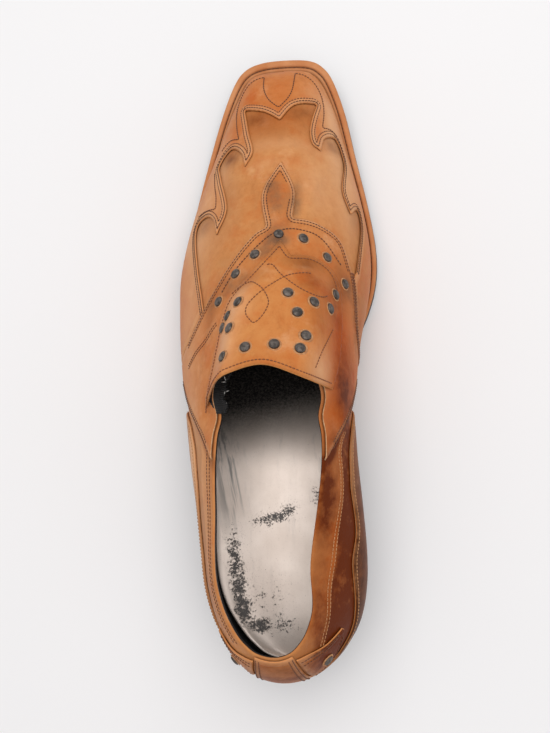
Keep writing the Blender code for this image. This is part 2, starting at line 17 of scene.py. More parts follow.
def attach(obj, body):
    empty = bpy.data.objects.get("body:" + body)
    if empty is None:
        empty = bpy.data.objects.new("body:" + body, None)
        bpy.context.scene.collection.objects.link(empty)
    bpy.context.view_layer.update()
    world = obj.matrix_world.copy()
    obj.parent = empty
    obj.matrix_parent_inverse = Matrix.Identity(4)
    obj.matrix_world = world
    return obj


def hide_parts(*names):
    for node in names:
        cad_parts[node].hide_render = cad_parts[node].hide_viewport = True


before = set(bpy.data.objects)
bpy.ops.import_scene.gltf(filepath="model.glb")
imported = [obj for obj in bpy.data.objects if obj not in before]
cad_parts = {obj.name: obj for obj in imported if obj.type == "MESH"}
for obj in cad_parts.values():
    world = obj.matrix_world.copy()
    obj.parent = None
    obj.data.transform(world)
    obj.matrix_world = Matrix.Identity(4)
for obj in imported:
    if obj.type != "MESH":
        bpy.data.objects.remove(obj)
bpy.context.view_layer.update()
MM = 0.001
print("solids in the frame:", len(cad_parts))

# %% [markdown]
# ## Camera
# The photograph looks down on the shoe from about forty centimetres. The eye stays where it was and
# turns to the middle of the shoe. Blender's tracking helper would roll the view, so the three axes of
# the camera are worked out from the line of sight instead.

# %% Camera
EYE = np.array([50.4, -65.1, 442.4])
AIM = np.array([2.0, -11.0, 38.0])
LENS, FILM = 41.5, 36.0
TINY = 1e-9


def unit(vectors):
    """Vectors scaled to a length of one."""
    return vectors / np.maximum(np.linalg.norm(vectors, axis=-1, keepdims=True), TINY)


def look_from(eye, aim):
    """Axes of a view: forward from eye to aim, right square to it and to the shoe's length, up the rest."""
    forward = unit(aim - eye)
    right = unit(np.cross(forward, (0.0, 1.0, 0.0)))
    turn = np.eye(4)
    turn[:3, :3] = np.column_stack([right, np.cross(right, forward), -forward])
    turn[:3, 3] = eye * MM
    return Matrix(turn.tolist())


lens = bpy.data.cameras.new("camera")
lens.lens, lens.sensor_width = LENS, FILM
camera = bpy.data.objects.new("camera", lens)
camera.matrix_world = look_from(EYE, AIM)
bpy.context.scene.collection.objects.link(camera)
bpy.context.scene.camera = camera
bpy.context.scene.view_settings.view_transform = "Standard"
print("camera at", EYE, "mm")

# %% [markdown]
# ## The last
# A shoe is built on a last, a solid form of the foot. Its surface is a family of ribs: each rib starts
# at the sole's edge and climbs to a line along the top, the spine. A point on it has two parameters,
# its place round the sole and its height up the rib, which makes it easy to lay a grid of any fineness.
# Lengths are in millimetres: x runs from the lateral to the medial side, y from the heel to the toe.

# %% Sizes and tables of the last
OUTSOLE, WELT, MIDDLE_X = 5.0, 3.0, 8.0
HEEL_RISE, LIFT, HEEL_TAPER = 23.0, 6.0, 2.5
TOE_SPRING, TOE_POWER, TREAD_FRONT, TREAD_REAR = 11.0, 1.8, 50.0, 18.0
SEAT_FRONT, BREAST = -66.0, -74.0
WELT_LATERAL, WELT_MEDIAL = -8.0, 8.0
WALL, FIT, LEATHER, SEAT, COUNTER_SEAT = 2.2, 0.3, 1.2, 0.5, 0.8
SPINE_HEEL, SPINE_HEEL_RUN = -75.0, 38.0
SPINE_TOE, SPINE_TOE_RUN = 85.0, 36.0
BELLY_AT, LEAN_AT, RIB_SAMPLES = 0.2, 0.5, 401
EDGE_STEP, RING_STEP, RIB_STEP, SPINE_STEP, TOP_STEP = 0.02, 0.05, 0.004, 0.5, 0.01

Edge = namedtuple("Edge", "y lateral medial welt_lat welt_med")
EDGES = (
    Edge(-154.2, 8.0, 8.0, 1.0, 1.0), Edge(-151.8, -3.8, 19.8, 1.0, 1.0),
    Edge(-146.0, -12.0, 28.2, 1.0, 1.0), Edge(-139.0, -18.0, 34.0, 1.0, 1.0),
    Edge(-128.0, -24.2, 39.6, 1.0, 1.0), Edge(-114.0, -28.8, 42.0, 1.0, 1.0),
    Edge(-98.0, -31.2, 41.6, 1.0, 1.0), Edge(-75.0, -34.0, 38.0, 1.0, 1.0),
    Edge(-50.0, -37.4, 33.4, 1.0, 1.0), Edge(-25.0, -42.6, 32.2, 1.4, 1.0),
    Edge(0.0, -48.6, 38.6, 3.2, 1.8), Edge(20.0, -51.7, 47.2, 4.8, 4.2),
    Edge(37.0, -52.3, 51.6, 5.4, 5.8), Edge(55.0, -50.0, 51.8, 5.8, 6.2),
    Edge(78.0, -44.6, 48.0, 6.0, 6.3), Edge(104.0, -37.6, 42.0, 6.2, 6.4),
    Edge(128.0, -30.2, 36.6, 6.6, 6.8), Edge(145.0, -23.2, 30.6, 7.4, 7.4),
    Edge(152.8, -17.0, 24.9, 8.0, 8.0), Edge(156.4, -8.0, 17.6, 8.2, 8.2),
    Edge(157.3, 5.0, 5.0, 8.2, 8.2),
)
Spine = namedtuple("Spine", "y x z")
SPINE = (
    Spine(-112.0, 4.0, 100.0), Spine(-60.0, 4.5, 107.0), Spine(-18.0, 6.0, 97.0),
    Spine(5.0, 6.0, 87.5), Spine(30.0, 5.6, 76.5), Spine(60.0, 5.2, 65.5),
    Spine(90.0, 5.0, 55.0), Spine(116.0, 5.0, 44.5), Spine(130.0, 5.0, 38.5),
)
Rib = namedtuple("Rib", "y rise_lat rise_med belly_lat belly_med lean_lat lean_med")
RIBS = (
    Rib(-154.0, 0.36, 0.36, 1.6, 1.6, 0.12, 0.12), Rib(-135.0, 0.36, 0.36, 1.0, 1.6, 0.18, 0.28),
    Rib(-105.0, 0.35, 0.35, 0.2, 1.8, 0.24, 0.45), Rib(-75.0, 0.34, 0.34, 0.4, 4.8, 0.34, 0.34),
    Rib(-50.0, 0.33, 0.33, 0.8, 7.6, 0.38, 0.15), Rib(-25.0, 0.35, 0.40, 0.2, 8.0, 0.32, -0.03),
    Rib(0.0, 0.38, 0.46, 0.0, 4.8, 0.30, 0.05), Rib(20.0, 0.40, 0.47, 0.0, 1.8, 0.30, 0.18),
    Rib(45.0, 0.41, 0.43, 0.2, 0.4, 0.28, 0.25), Rib(75.0, 0.43, 0.45, 0.0, 0.3, 0.26, 0.24),
    Rib(100.0, 0.42, 0.45, -1.4, -0.4, 0.25, 0.23), Rib(128.0, 0.44, 0.48, -2.6, -1.2, 0.25, 0.23),
    Rib(150.0, 0.46, 0.46, -2.7, -2.4, 0.25, 0.25),
)
SPANS = len(EDGES) - 1
TURN = 2.0 * SPANS
print("ribs run round", TURN, "spans of the sole's edge")

# %% [markdown]
# Two kinds of curve carry the tables. A closed ring goes round the sole and repeats itself, and an
# open curve runs from heel to toe and never overshoots where a column turns round.


# %% Curves through the tables
def column(rows, name):
    """One named column of a table as an array."""
    return np.array([getattr(row, name) for row in rows], float)


def through(stations, values, at):
    """Cubic through a table: its slope is the mean of both neighbours, or level where the column turns."""
    slope = np.gradient(values, stations)
    step = np.diff(values) / np.diff(stations)
    turn = np.append(step[0], step) * np.append(step, step[-1]) <= 0
    slope[turn] = 0.0
    slope[0], slope[-1] = step[0], step[-1]
    at = np.clip(at, stations[0], stations[-1])
    k = np.clip(np.searchsorted(stations, at, side="right") - 1, 0, len(stations) - 2)
    width = stations[k + 1] - stations[k]
    f = (at - stations[k]) / width
    rise = values[k + 1] - values[k]
    bend_a = slope[k] * width - rise
    bend_b = rise - slope[k + 1] * width
    return values[k] + f * rise + f * (1 - f) * ((1 - f) * bend_a + f * bend_b)


def between(a, b, c, d, f):
    """Cubic from b to c at a share f of the way, with slopes that look past them to a and d."""
    return b + 0.5 * f * (c - a + f * (2 * a - 5 * b + 4 * c - d + f * (3 * (b - c) + d - a)))


def ring(lateral, medial, s):
    """Closed cubic: lateral column from heel to toe, then medial column back, each point between four."""
    knots = np.concatenate([lateral, medial[-2:0:-1]])
    n = len(knots)
    k = np.floor(s).astype(int)
    return between(*(knots[(k + i) % n] for i in (-1, 0, 1, 2)), s - k)


def ease(u):
    """Smooth step from zero to one: three squares less two cubes."""
    u = np.clip(u, 0, 1)
    return u * u * (3 - 2 * u)


# %% [markdown]
# A rib stands on the sole's edge, moved in by the welt's margin. In plan it bulges out, leans in and ends
# on the spine. Its height is a cubic that arrives along the spine's own slope, so both sides meet smoothly.


# %% The sole's edge and the last's surface
def station(s):
    """Distance along the shoe at a place on the ring."""
    return ring(column(EDGES, "y"), column(EDGES, "y"), s)


def sole_edge(s, inset=0.0):
    """Plan points of the sole's edge, moved inwards square to the edge by a distance."""
    def plan(q):
        return np.stack([ring(column(EDGES, "lateral"), column(EDGES, "medial"), q), station(q)], -1)
    along = unit(plan(s + EDGE_STEP) - plan(s - EDGE_STEP))
    inwards = np.stack([along[..., 1], -along[..., 0]], -1)
    return plan(s) + inwards * np.asarray(inset)[..., None], inwards


def welt_margin(s):
    """Distance from the sole's edge in to the foot of the upper."""
    return ring(column(EDGES, "welt_lat"), column(EDGES, "welt_med"), s)


def sole_z(y):
    """Underside of the outsole: toe spring as a power, flat tread, arch as a smooth step to the seat."""
    toe = np.clip((y - TREAD_FRONT) / (EDGES[-1].y - TREAD_FRONT), 0, 1)
    return TOE_SPRING * toe ** TOE_POWER + HEEL_RISE * ease((TREAD_REAR - y) / (TREAD_REAR - SEAT_FRONT))


def spine_y(y):
    """Station on the spine for a station on the sole, eased to a stop before each end."""
    front = SPINE_TOE + SPINE_TOE_RUN * (1 - np.exp(-np.maximum(y - SPINE_TOE, 0) / SPINE_TOE_RUN))
    back = SPINE_HEEL - SPINE_HEEL_RUN * (1 - np.exp(-np.maximum(SPINE_HEEL - y, 0) / SPINE_HEEL_RUN))
    return np.where(y > SPINE_TOE, front, np.where(y < SPINE_HEEL, back, y))


def rib_shape(s, y, name):
    """Lateral or medial column of the rib table, by the side of the ring."""
    stations = column(RIBS, "y")
    lateral = through(stations, column(RIBS, name + "_lat"), y)
    return np.where((s % TURN) <= SPANS, lateral, through(stations, column(RIBS, name + "_med"), y))


def blend(nodes, knots, t):
    """Curve of the lowest degree through points at the given places along it."""
    total = 0.0
    for i, knot in enumerate(knots):
        weight = np.prod([(t - n) / (nodes[i] - n) for j, n in enumerate(nodes) if j != i], axis=0)
        total = total + knot * weight[..., None]
    return total


def spine_point(y):
    """Plan position, height and slope of the spine at a station."""
    stations, heights = column(SPINE, "y"), column(SPINE, "z")
    x = through(stations, column(SPINE, "x"), y)
    ahead, back = through(stations, heights, y + SPINE_STEP), through(stations, heights, y - SPINE_STEP)
    slope = (ahead - back) / (2 * SPINE_STEP)
    return np.stack([x, y], -1), through(stations, heights, y), slope


def rib_point(s, t):
    """Point of the last: the plan blends foot, belly, lean and spine; the height is a cubic of t."""
    s, t = np.broadcast_arrays(np.asarray(s, float), np.asarray(t, float))
    foot, inwards = sole_edge(s, welt_margin(s))
    y = station(s)
    z_foot = sole_z(foot[..., 1]) + OUTSOLE + FIT
    top, z_top, slope = spine_point(spine_y(y))
    belly = foot - inwards * rib_shape(s, y, "belly")[..., None]
    lean = foot + (top - foot) * rib_shape(s, y, "lean")[..., None]
    nodes, knots = (0.0, BELLY_AT, LEAN_AT, 1.0), (foot, belly, lean, top)
    plan = blend(nodes, knots, t)
    arrive = (top - blend(nodes, knots, np.full_like(t, 1 - TOP_STEP))) / TOP_STEP
    z_low = z_foot + rib_shape(s, y, "rise") * (z_top - z_foot)
    z_high = z_top - slope * arrive[..., 1] / 3
    q = 1 - t
    z = z_foot * q ** 3 + 3 * z_low * q * q * t + 3 * z_high * q * t * t + z_top * t ** 3
    return np.concatenate([plan, z[..., None]], -1)


def rib_where(s, cut):
    """Height up each rib where it first passes a side-view line, one where it never does."""
    t = np.linspace(0, 1, RIB_SAMPLES)
    p = rib_point(s[:, None], t[None, :])
    over = p[..., 2] - cut(p[..., 1])
    hit = over > 0
    k = np.clip(np.argmax(hit, axis=1), 1, None)
    rows = np.arange(len(s))
    a, b = over[rows, k - 1], over[rows, k]
    where = t[k - 1] + (t[k] - t[k - 1]) * np.clip(-a / (b - a), 0, 1)
    return np.where(hit.any(axis=1), where, 1.0)


print("heel seat to spine:", rib_point(np.array([0.0, 8.0]), np.array([1.0, 1.0]))[:, 2].round(1))

# %% [markdown]
# ## Creases
# A worn shoe bends across the ball and its leather keeps soft waves. Simulation would place them at
# random; here each wave is listed as a long soft hump, above or below the last's surface.

# %% Creases and the lifted surface
Crease = namedtuple("Crease", "x y along across turn depth")
CREASES = (
    Crease(16.0, 66.0, 13.0, 2.8, 80.0, -1.2), Crease(21.0, 67.0, 14.0, 3.2, 78.0, 0.9),
    Crease(-6.0, 62.0, 13.0, 3.2, 97.0, -0.8), Crease(8.0, 91.0, 24.0, 4.0, 4.0, 0.9),
    Crease(30.0, 70.0, 10.0, 5.0, 70.0, -0.9), Crease(-19.0, 66.0, 14.0, 6.0, 100.0, -0.9),
    Crease(-6.0, 108.0, 9.0, 6.0, 10.0, -0.9), Crease(17.0, 110.0, 8.0, 5.0, -15.0, -0.9),
    Crease(10.0, 51.0, 18.0, 3.0, -6.0, -0.5), Crease(8.0, 57.0, 12.0, 2.5, 5.0, 0.4),
    Crease(-19.0, 36.0, 16.0, 3.0, 50.0, -0.5), Crease(30.0, 50.0, 12.0, 3.0, -35.0, -0.4),
)


def waves(p):
    """Sum of soft humps in plan: each falls off as a bell along its length and across its width."""
    total = np.zeros(p.shape[:-1])
    for c in CREASES:
        turn = np.radians(c.turn)
        x, y = p[..., 0] - c.x, p[..., 1] - c.y
        u, v = x * np.cos(turn) + y * np.sin(turn), y * np.cos(turn) - x * np.sin(turn)
        total += c.depth * np.exp(-(u / c.along) ** 2 - (v / c.across) ** 2)
    return total


TAB_Y, TAB_RUN, TAB_LOW, TAB_RISE, TAB_IN = -38.0, 6.0, 64.0, 12.0, 2.4
JOIN = 1e-6


def tabs(p):
    """The two front corners of the quarters lean inwards at the collar: a bell along, a step upwards."""
    return -TAB_IN * np.exp(-((p[..., 1] - TAB_Y) / TAB_RUN) ** 2) * ease((p[..., 2] - TAB_LOW) / TAB_RISE)


def lifted(s, t, lift):
    """Points at a distance outside the last, with the waves added along the same normal."""
    s, t = np.broadcast_arrays(np.asarray(s, float), np.asarray(t, float))
    up = rib_point(s, np.clip(t + RIB_STEP, 0, 1)) - rib_point(s, np.clip(t - RIB_STEP, 0, 1))
    along = rib_point(s + RING_STEP, t) - rib_point(s - RING_STEP, t)
    _, z, slope = spine_point(spine_y(station(s)))
    ridge = unit(np.stack([np.zeros_like(z), -slope, np.ones_like(z)], -1))
    normal = np.where((t > 1 - JOIN)[..., None], ridge, unit(np.cross(up, along)))
    p = rib_point(s, t)
    return p + normal * (lift + waves(p) + tabs(p))[..., None]


print("creases:", len(CREASES))

# %% [markdown]
# ## Meshes from grids
# Every piece below is a grid of points. A mesh made from it gets smooth shading, and numbers on its
# vertices that the materials read: how far a point lies from a raw edge, how burnished it is, how dirty or
# painted with shade, and how pale or painted with sheen.


# %% Grid helpers
EDGE_SAMPLES = 4001


def lengths(points):
    """Distance run along a broken line at each of its points."""
    return np.append(0, np.cumsum(np.linalg.norm(np.diff(points, axis=0), axis=1)))


def places(step):
    """Places along the lateral half of the ring, evenly spaced by a distance along the sole's edge."""
    s = np.linspace(0, SPANS, EDGE_SAMPLES)
    run = lengths(sole_edge(s)[0])
    return np.interp(np.linspace(0, run[-1], int(run[-1] / step) + 1), run, s)


def round_ring(half):
    """Places on both sides: out along the lateral side and back along the medial side."""
    return np.concatenate([half, TURN - half[-2:0:-1]])


def front_ring(half, y):
    """Places round the toe in front of a station, lateral side first."""
    front = half[station(half) >= y]
    return np.concatenate([front, TURN - front[-2::-1]])


def rear_ring(half, y):
    """Places round the heel behind a station, medial side first."""
    rear = half[station(half) <= y]
    return np.concatenate([TURN - rear[:0:-1], rear])


def grid_faces(columns, rows, closed=False):
    """Corner numbers of the quads between neighbouring columns and rows, facing away from the last."""
    i = np.arange(columns if closed else columns - 1)[:, None]
    j = np.arange(rows - 1)[None, :]
    k = (i + 1) % columns
    return np.stack([i * rows + j, i * rows + j + 1, k * rows + j + 1, k * rows + j], -1).reshape(-1, 4)


def loop_faces(columns, rows, copies=1):
    """Quads of a grid whose rows close into a loop, repeated for copies that follow one another."""
    i = np.arange(columns - 1)[:, None]
    j = np.arange(rows)[None, :]
    k = (j + 1) % rows
    one = np.stack([i * rows + j, i * rows + k, (i + 1) * rows + k, (i + 1) * rows + j], -1).reshape(-1, 4)
    return (one + np.arange(copies)[:, None, None] * columns * rows).reshape(-1, 4)


def grid_normals(points):
    """Directions out of a grid: the cross product of the steps up its rows and along its columns."""
    return unit(np.cross(np.gradient(points, axis=1), np.gradient(points, axis=0)))


def build(name, points, faces, looks, numbers=None, caps=()):
    """Object from points in millimetres; doubled points are joined, vertex numbers are kept."""
    mesh = bpy.data.meshes.new(name)
    corners = faces.tolist() + [list(cap) for cap in caps]
    mesh.from_pydata((points.reshape(-1, 3) * MM).tolist(), [], corners)
    for label, values in (numbers or {}).items():
        layer = mesh.attributes.new(label, "FLOAT", "POINT")
        layer.data.foreach_set("value", np.asarray(values, np.float32).ravel())
    bm = bmesh.new()
    bm.from_mesh(mesh)
    bmesh.ops.remove_doubles(bm, verts=bm.verts, dist=JOIN)
    bmesh.ops.dissolve_degenerate(bm, edges=bm.edges, dist=JOIN)
    loose = [v for v in bm.verts if not v.link_faces]
    bmesh.ops.delete(bm, geom=loose, context="VERTS")
    bm.to_mesh(mesh)
    bm.free()
    for look in looks:
        mesh.materials.append(look)
    mesh.shade_smooth()
    made = bpy.data.objects.new(name, mesh)
    bpy.context.scene.collection.objects.link(made)
    return made


def thicken(piece, thickness, inner=0, rim=0):
    """Wall grown inwards from a sheet, with other material slots on its inside and its rim."""
    wall = piece.modifiers.new("wall", "SOLIDIFY")
    wall.thickness, wall.offset = thickness * MM, -1.0
    wall.material_offset, wall.material_offset_rim = inner, rim


def face_out(piece):
    """Faces of a closed piece turned to look outwards."""
    bm = bmesh.new()
    bm.from_mesh(piece.data)
    bmesh.ops.recalc_face_normals(bm, faces=bm.faces)
    bm.to_mesh(piece.data)
    bm.free()


def dress(piece, slot, *nodes):
    """Hide the solids that a piece stands for, if any, and hang the piece on the root body; slot is not
    used.
    """
    if nodes:
        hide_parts(*nodes)
    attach(piece, "root")
    print(piece.name, len(piece.data.polygons), "faces")


print("places round the sole at 2 mm:", len(places(2.0)))

# %% [markdown]
# ## Shader maths
# A material's numbers are written as plain expressions. One small class wraps a socket, and each
# operator adds a Math node, so `1 - mask` reads as it would on paper.


# %% Sockets with operators
class Value:
    """A shader socket that can be added, taken away, multiplied and divided."""

    def __init__(self, tree, socket=None):
        self.tree, self.socket = tree, socket

    def feed(self, socket, value):
        """Link a wrapped socket to another one, or set a number, a vector or a colour on it."""
        if isinstance(value, Value):
            self.tree.links.new(value.socket, socket)
        else:
            socket.default_value = (*value, 1.0) if socket.type == "RGBA" else value

    def add(self, kind, settings=None, values=None, output=0):
        """Node of a type: its settings first, then the values or links of its sockets."""
        node = self.tree.nodes.new(kind)
        for name, value in (settings or {}).items():
            setattr(node, name, value)
        for name, value in (values or {}).items():
            self.feed(node.inputs[name], value)
        return Value(self.tree, node.outputs[output])

    def math(self, operation, *terms, clamp=False):
        """Math node on any numbers and sockets."""
        settings = {"operation": operation, "use_clamp": clamp}
        return self.add("ShaderNodeMath", settings, dict(enumerate(terms)))

    def __add__(self, other):
        return self.math("ADD", self, other)

    def __sub__(self, other):
        return self.math("SUBTRACT", self, other)

    def __rsub__(self, other):
        return self.math("SUBTRACT", other, self)

    def __mul__(self, other):
        return self.math("MULTIPLY", self, other)

    def __truediv__(self, other):
        return self.math("DIVIDE", self, other)

    __radd__, __rmul__ = __add__, __mul__

    def held(self):
        """The value kept between zero and one."""
        return self.math("ADD", self, 0.0, clamp=True)

    def rises(self, low, high):
        """Smooth step from zero at low to one at high."""
        return self.add("ShaderNodeMapRange", {"interpolation_type": "SMOOTHSTEP"},
                        {"Value": self, "From Min": low, "From Max": high})

    def bell(self, middle, width):
        """Bump that is one at a middle and fades out over a width."""
        off = (self - middle) / width
        return self.math("EXPONENT", self.math("MULTIPLY", -1.0, off * off))

    def mix(self, first, second):
        """Colour between two colours, this value the share of the second."""
        return self.add("ShaderNodeMix", {"data_type": "RGBA"}, {0: self, 6: first, 7: second}, 2)


def finish(name):
    """New material with its shader, and the tree's Object coordinates."""
    look = bpy.data.materials.new(name)
    look.use_nodes = True
    tree = look.node_tree
    at = Value(tree).add("ShaderNodeTexCoord", output=3)
    return look, tree.nodes["Principled BSDF"], at


def noise(at, scale, detail=3.0, rough=0.55, stretch=None, turn=0.0):
    """Cloudy number at a fineness, in features per metre, turned and drawn out along an axis."""
    if stretch:
        at = at.add("ShaderNodeMapping", {"vector_type": "TEXTURE"},
                    {"Vector": at, "Rotation": (0.0, 0.0, turn), "Scale": tuple(1 / f for f in stretch)})
    return at.add("ShaderNodeTexNoise", values={"Vector": at, "Scale": scale, "Detail": detail,
                                                "Roughness": rough})


def number(at, label):
    """The number that a piece's vertices carry under a label."""
    return at.add("ShaderNodeAttribute", {"attribute_name": label}, output=2)


def link(at, shader, **sockets):
    """Feed named sockets of the shader, an underscore standing for a space."""
    for name, value in sockets.items():
        at.feed(shader.inputs[name.replace("_", " ")], value)


def bump(at, height, distance, strength=1.0):
    """Normal tilted by a height, in millimetres at full value."""
    return at.add("ShaderNodeBump", values={"Height": height, "Distance": distance * MM,
                                            "Strength": strength})


print("made", Value.__name__, "for sums that add Math nodes")

# %% [markdown]
# ## Floor and light
# The shoe stands on pale seamless paper under broad soft light. A wide lamp overhead gives the gentle
# modelling of the photograph, and a bright even sky fills the shadows.

# %% Floor and light
FLOOR_HALF = 3000.0


def paper():
    """Almost white paper with the faintest clouding."""
    look, shader, at = finish("pale paper")
    colour = noise(at, 3.0).mix((0.86, 0.845, 0.84), (0.90, 0.885, 0.885))
    link(at, shader, Base_Color=colour, Roughness=0.9, Specular_IOR_Level=0.2)
    return look


corner = np.array([-FLOOR_HALF, FLOOR_HALF])
ground = np.stack(np.meshgrid(corner, corner, [0.0], indexing="ij"), -1).reshape(-1, 3)
floor = build("floor", ground, np.array([[0, 2, 3, 1]]), [paper()])

Lamp = namedtuple("Lamp", "name x y z size power")
LAMPS = (
    Lamp("overhead", 60.0, 300.0, 1250.0, 1400.0, 11.8),
    Lamp("side_fill", 900.0, -700.0, 900.0, 900.0, 0.8),
)
LAMP_AIM = np.array([0.0, 0.0, 40.0])
SKY_COLOUR, SKY_POWER = (0.98, 0.985, 1.0, 1.0), 0.54
for lamp in LAMPS:
    light = bpy.data.lights.new(lamp.name, "AREA")
    light.size, light.energy = lamp.size * MM, lamp.power
    shine = bpy.data.objects.new(lamp.name, light)
    shine.matrix_world = look_from(np.array([lamp.x, lamp.y, lamp.z]), LAMP_AIM)
    bpy.context.scene.collection.objects.link(shine)
sky = bpy.data.worlds.new("soft sky")
sky.use_nodes = True
backdrop = sky.node_tree.nodes["Background"].inputs
backdrop["Color"].default_value, backdrop["Strength"].default_value = SKY_COLOUR, SKY_POWER
bpy.context.scene.world = sky
print("lamps:", [lamp.name for lamp in LAMPS])

# %% [markdown]
# ## Leather
# Antiqued leather is dyed tan and then rubbed darker along its seams and hollows. Each patch of burnish,
# grime, faded spots, painted shade or painted sheen is a soft ball in space with a place, a reach and a
# strength, and a vertex adds up the balls that it lies in. Some of them paint light into the colour: shade
# under the wing's edges and in a crease beside the spade, and highlights and sheen on the vamp, the
# saddle's lateral flank and the walls.

# %% Patches of burnish, grime, painted shade, faded spots and painted sheen
Patch = namedtuple("Patch", "x y z reach_x reach_y reach_z amount")
# Burnish and painted shade on the vamp under the wing's corners and front edge, where the wing's step
# shades it.
UNDER_WING_BURNISH_AND_SHADE = (
    Patch(-7.5, 114.0, 46.0, 8.5, 5.5, 12.0, 0.5), Patch(16.5, 116.5, 44.0, 9.0, 5.5, 12.0, 0.5),
    Patch(-19.5, 93.0, 44.0, 5.5, 5.0, 12.0, 0.6), Patch(32.0, 101.0, 38.0, 4.5, 4.5, 12.0, 0.6),
    Patch(-33.0, 59.0, 42.0, 6.0, 5.0, 14.0, 0.45), Patch(42.0, 63.0, 38.0, 3.0, 8.0, 14.0, 0.3),
    Patch(4.0, 106.0, 48.0, 15.0, 9.0, 12.0, 0.22), Patch(-22.0, 66.0, 48.0, 8.0, 20.0, 14.0, 0.14),
)
BURNISH = (
    Patch(22.0, 31.0, 78.0, 11.0, 5.0, 10.0, 0.5), Patch(-6.0, 23.0, 80.0, 8.0, 6.0, 10.0, 0.2),
    Patch(24.0, 20.0, 82.0, 8.0, 8.0, 8.0, 0.4), Patch(36.0, 24.0, 60.0, 5.0, 12.0, 12.0, 0.5),
    Patch(33.5, 12.0, 74.0, 4.0, 14.0, 10.0, 0.5), Patch(26.0, 3.0, 86.0, 5.0, 10.0, 8.0, 0.25),
    Patch(-24.0, 8.0, 69.0, 3.0, 14.0, 10.0, 0.25), Patch(46.0, 8.0, 40.0, 5.0, 26.0, 14.0, 0.3),
    Patch(37.0, -18.0, 65.0, 8.0, 16.0, 14.0, 0.6), Patch(40.0, -36.0, 60.0, 6.0, 12.0, 14.0, 0.4),
    Patch(31.0, -48.0, 70.0, 6.0, 8.0, 8.0, 0.3), Patch(30.0, -74.0, 74.0, 9.0, 22.0, 10.0, 1.0),
    Patch(29.0, -118.0, 76.0, 7.0, 24.0, 9.0, 0.4), Patch(41.0, -98.0, 54.0, 7.0, 42.0, 16.0, 0.8),
    Patch(36.0, -134.0, 55.0, 12.0, 16.0, 18.0, 0.9), Patch(8.0, -150.0, 68.0, 22.0, 8.0, 16.0, 0.7),
    Patch(-30.0, -120.0, 45.0, 14.0, 40.0, 12.0, 0.3), Patch(24.0, -122.0, 78.0, 8.0, 18.0, 9.0, 0.4),
    Patch(30.0, -140.0, 68.0, 8.0, 10.0, 10.0, 0.8), Patch(8.0, -143.0, 82.0, 16.0, 6.0, 6.0, 0.4),
    Patch(37.0, -27.0, 66.0, 6.0, 8.0, 10.0, 0.4),
)
# Grime at the saddle's tip and in the spade, with painted shade in the crease beside the spade and grey
# under the painted sheen on the saddle's lateral side.
DIRT_AND_SHADE = (
    Patch(7.0, 43.0, 72.0, 7.0, 5.5, 14.0, 0.7), Patch(0.0, 35.5, 75.0, 9.0, 4.5, 14.0, 0.5),
    Patch(7.0, 60.0, 65.0, 8.0, 14.0, 12.0, 0.5), Patch(15.5, 66.0, 60.0, 3.2, 13.0, 12.0, 0.45),
    Patch(3.0, 72.0, 62.0, 4.0, 8.0, 10.0, 0.35), Patch(41.5, 10.0, 48.0, 3.0, 20.0, 8.0, 0.5),
    Patch(-17.0, 22.0, 72.0, 8.0, 9.0, 10.0, 0.4), Patch(38.0, 24.0, 56.0, 3.0, 8.0, 8.0, 0.5),
    Patch(-8.0, 22.0, 80.0, 9.0, 9.0, 10.0, 0.3), Patch(-20.0, 36.0, 62.0, 8.0, 6.0, 12.0, 0.25),
    Patch(-25.0, 12.0, 67.0, 6.0, 14.0, 12.0, 0.35), Patch(-14.0, -4.0, 90.0, 5.0, 14.0, 12.0, 0.2),
)
RUDDY = (
    Patch(4.0, 130.0, 40.0, 12.0, 9.0, 14.0, 0.3), Patch(-13.0, 127.0, 38.0, 7.0, 9.0, 14.0, 0.25),
    Patch(4.0, 112.0, 46.0, 20.0, 10.0, 14.0, 0.6), Patch(24.0, 16.0, 82.0, 9.0, 11.0, 12.0, 0.35),
    Patch(36.0, 0.0, 70.0, 7.0, 18.0, 14.0, 0.8), Patch(37.0, -24.0, 65.0, 12.0, 24.0, 20.0, 1.0),
    Patch(32.0, -80.0, 70.0, 12.0, 36.0, 20.0, 0.65), Patch(32.0, -125.0, 70.0, 14.0, 20.0, 22.0, 0.5),
)
# Painted highlights and sheen, with some faded spots: the light band in front of the spade, the sheen on
# the saddle's steep lateral flank and on the lateral quarter, and lighter walls low on both sides.
SHEEN_AND_FADE = (
    Patch(24.0, 76.0, 54.0, 9.0, 20.0, 16.0, 0.45), Patch(6.0, 96.0, 51.0, 20.0, 4.5, 12.0, 0.35),
    Patch(-13.0, -6.0, 93.0, 5.0, 16.0, 14.0, 0.8), Patch(-8.0, 10.0, 86.0, 6.0, 10.0, 10.0, 0.7),
    Patch(-38.0, 14.0, 52.0, 9.0, 30.0, 20.0, 0.55), Patch(-26.0, 88.0, 40.0, 7.0, 18.0, 12.0, 0.7),
    Patch(-36.0, -56.0, 54.0, 8.0, 26.0, 14.0, 1.1), Patch(-30.0, -90.0, 64.0, 9.0, 40.0, 16.0, 0.4),
    Patch(27.0, -20.0, 88.0, 6.0, 9.0, 12.0, 0.8), Patch(38.0, 86.0, 36.0, 8.0, 36.0, 16.0, 0.9),
    Patch(30.0, 116.0, 32.0, 5.0, 20.0, 14.0, 0.8), Patch(-36.0, 58.0, 39.0, 7.0, 26.0, 14.0, 0.7),
    Patch(0.0, 85.0, 57.0, 9.0, 4.0, 10.0, 0.25), Patch(-24.0, 62.0, 51.0, 9.0, 18.0, 14.0, 0.3),
    Patch(22.0, 127.0, 36.0, 6.0, 8.0, 12.0, 0.4), Patch(-43.0, 54.0, 32.0, 6.0, 14.0, 14.0, 0.6),
)
MOST, MOST_BURNISH = 1.2, 1.15


def patches(p, table):
    """Sum of soft balls: each is its amount times a bell in the three directions."""
    total = np.zeros(len(p))
    for b in table:
        far = ((p - (b.x, b.y, b.z)) / (b.reach_x, b.reach_y, b.reach_z)) ** 2
        total += b.amount * np.exp(-far.sum(-1))
    return np.minimum(total, MOST)


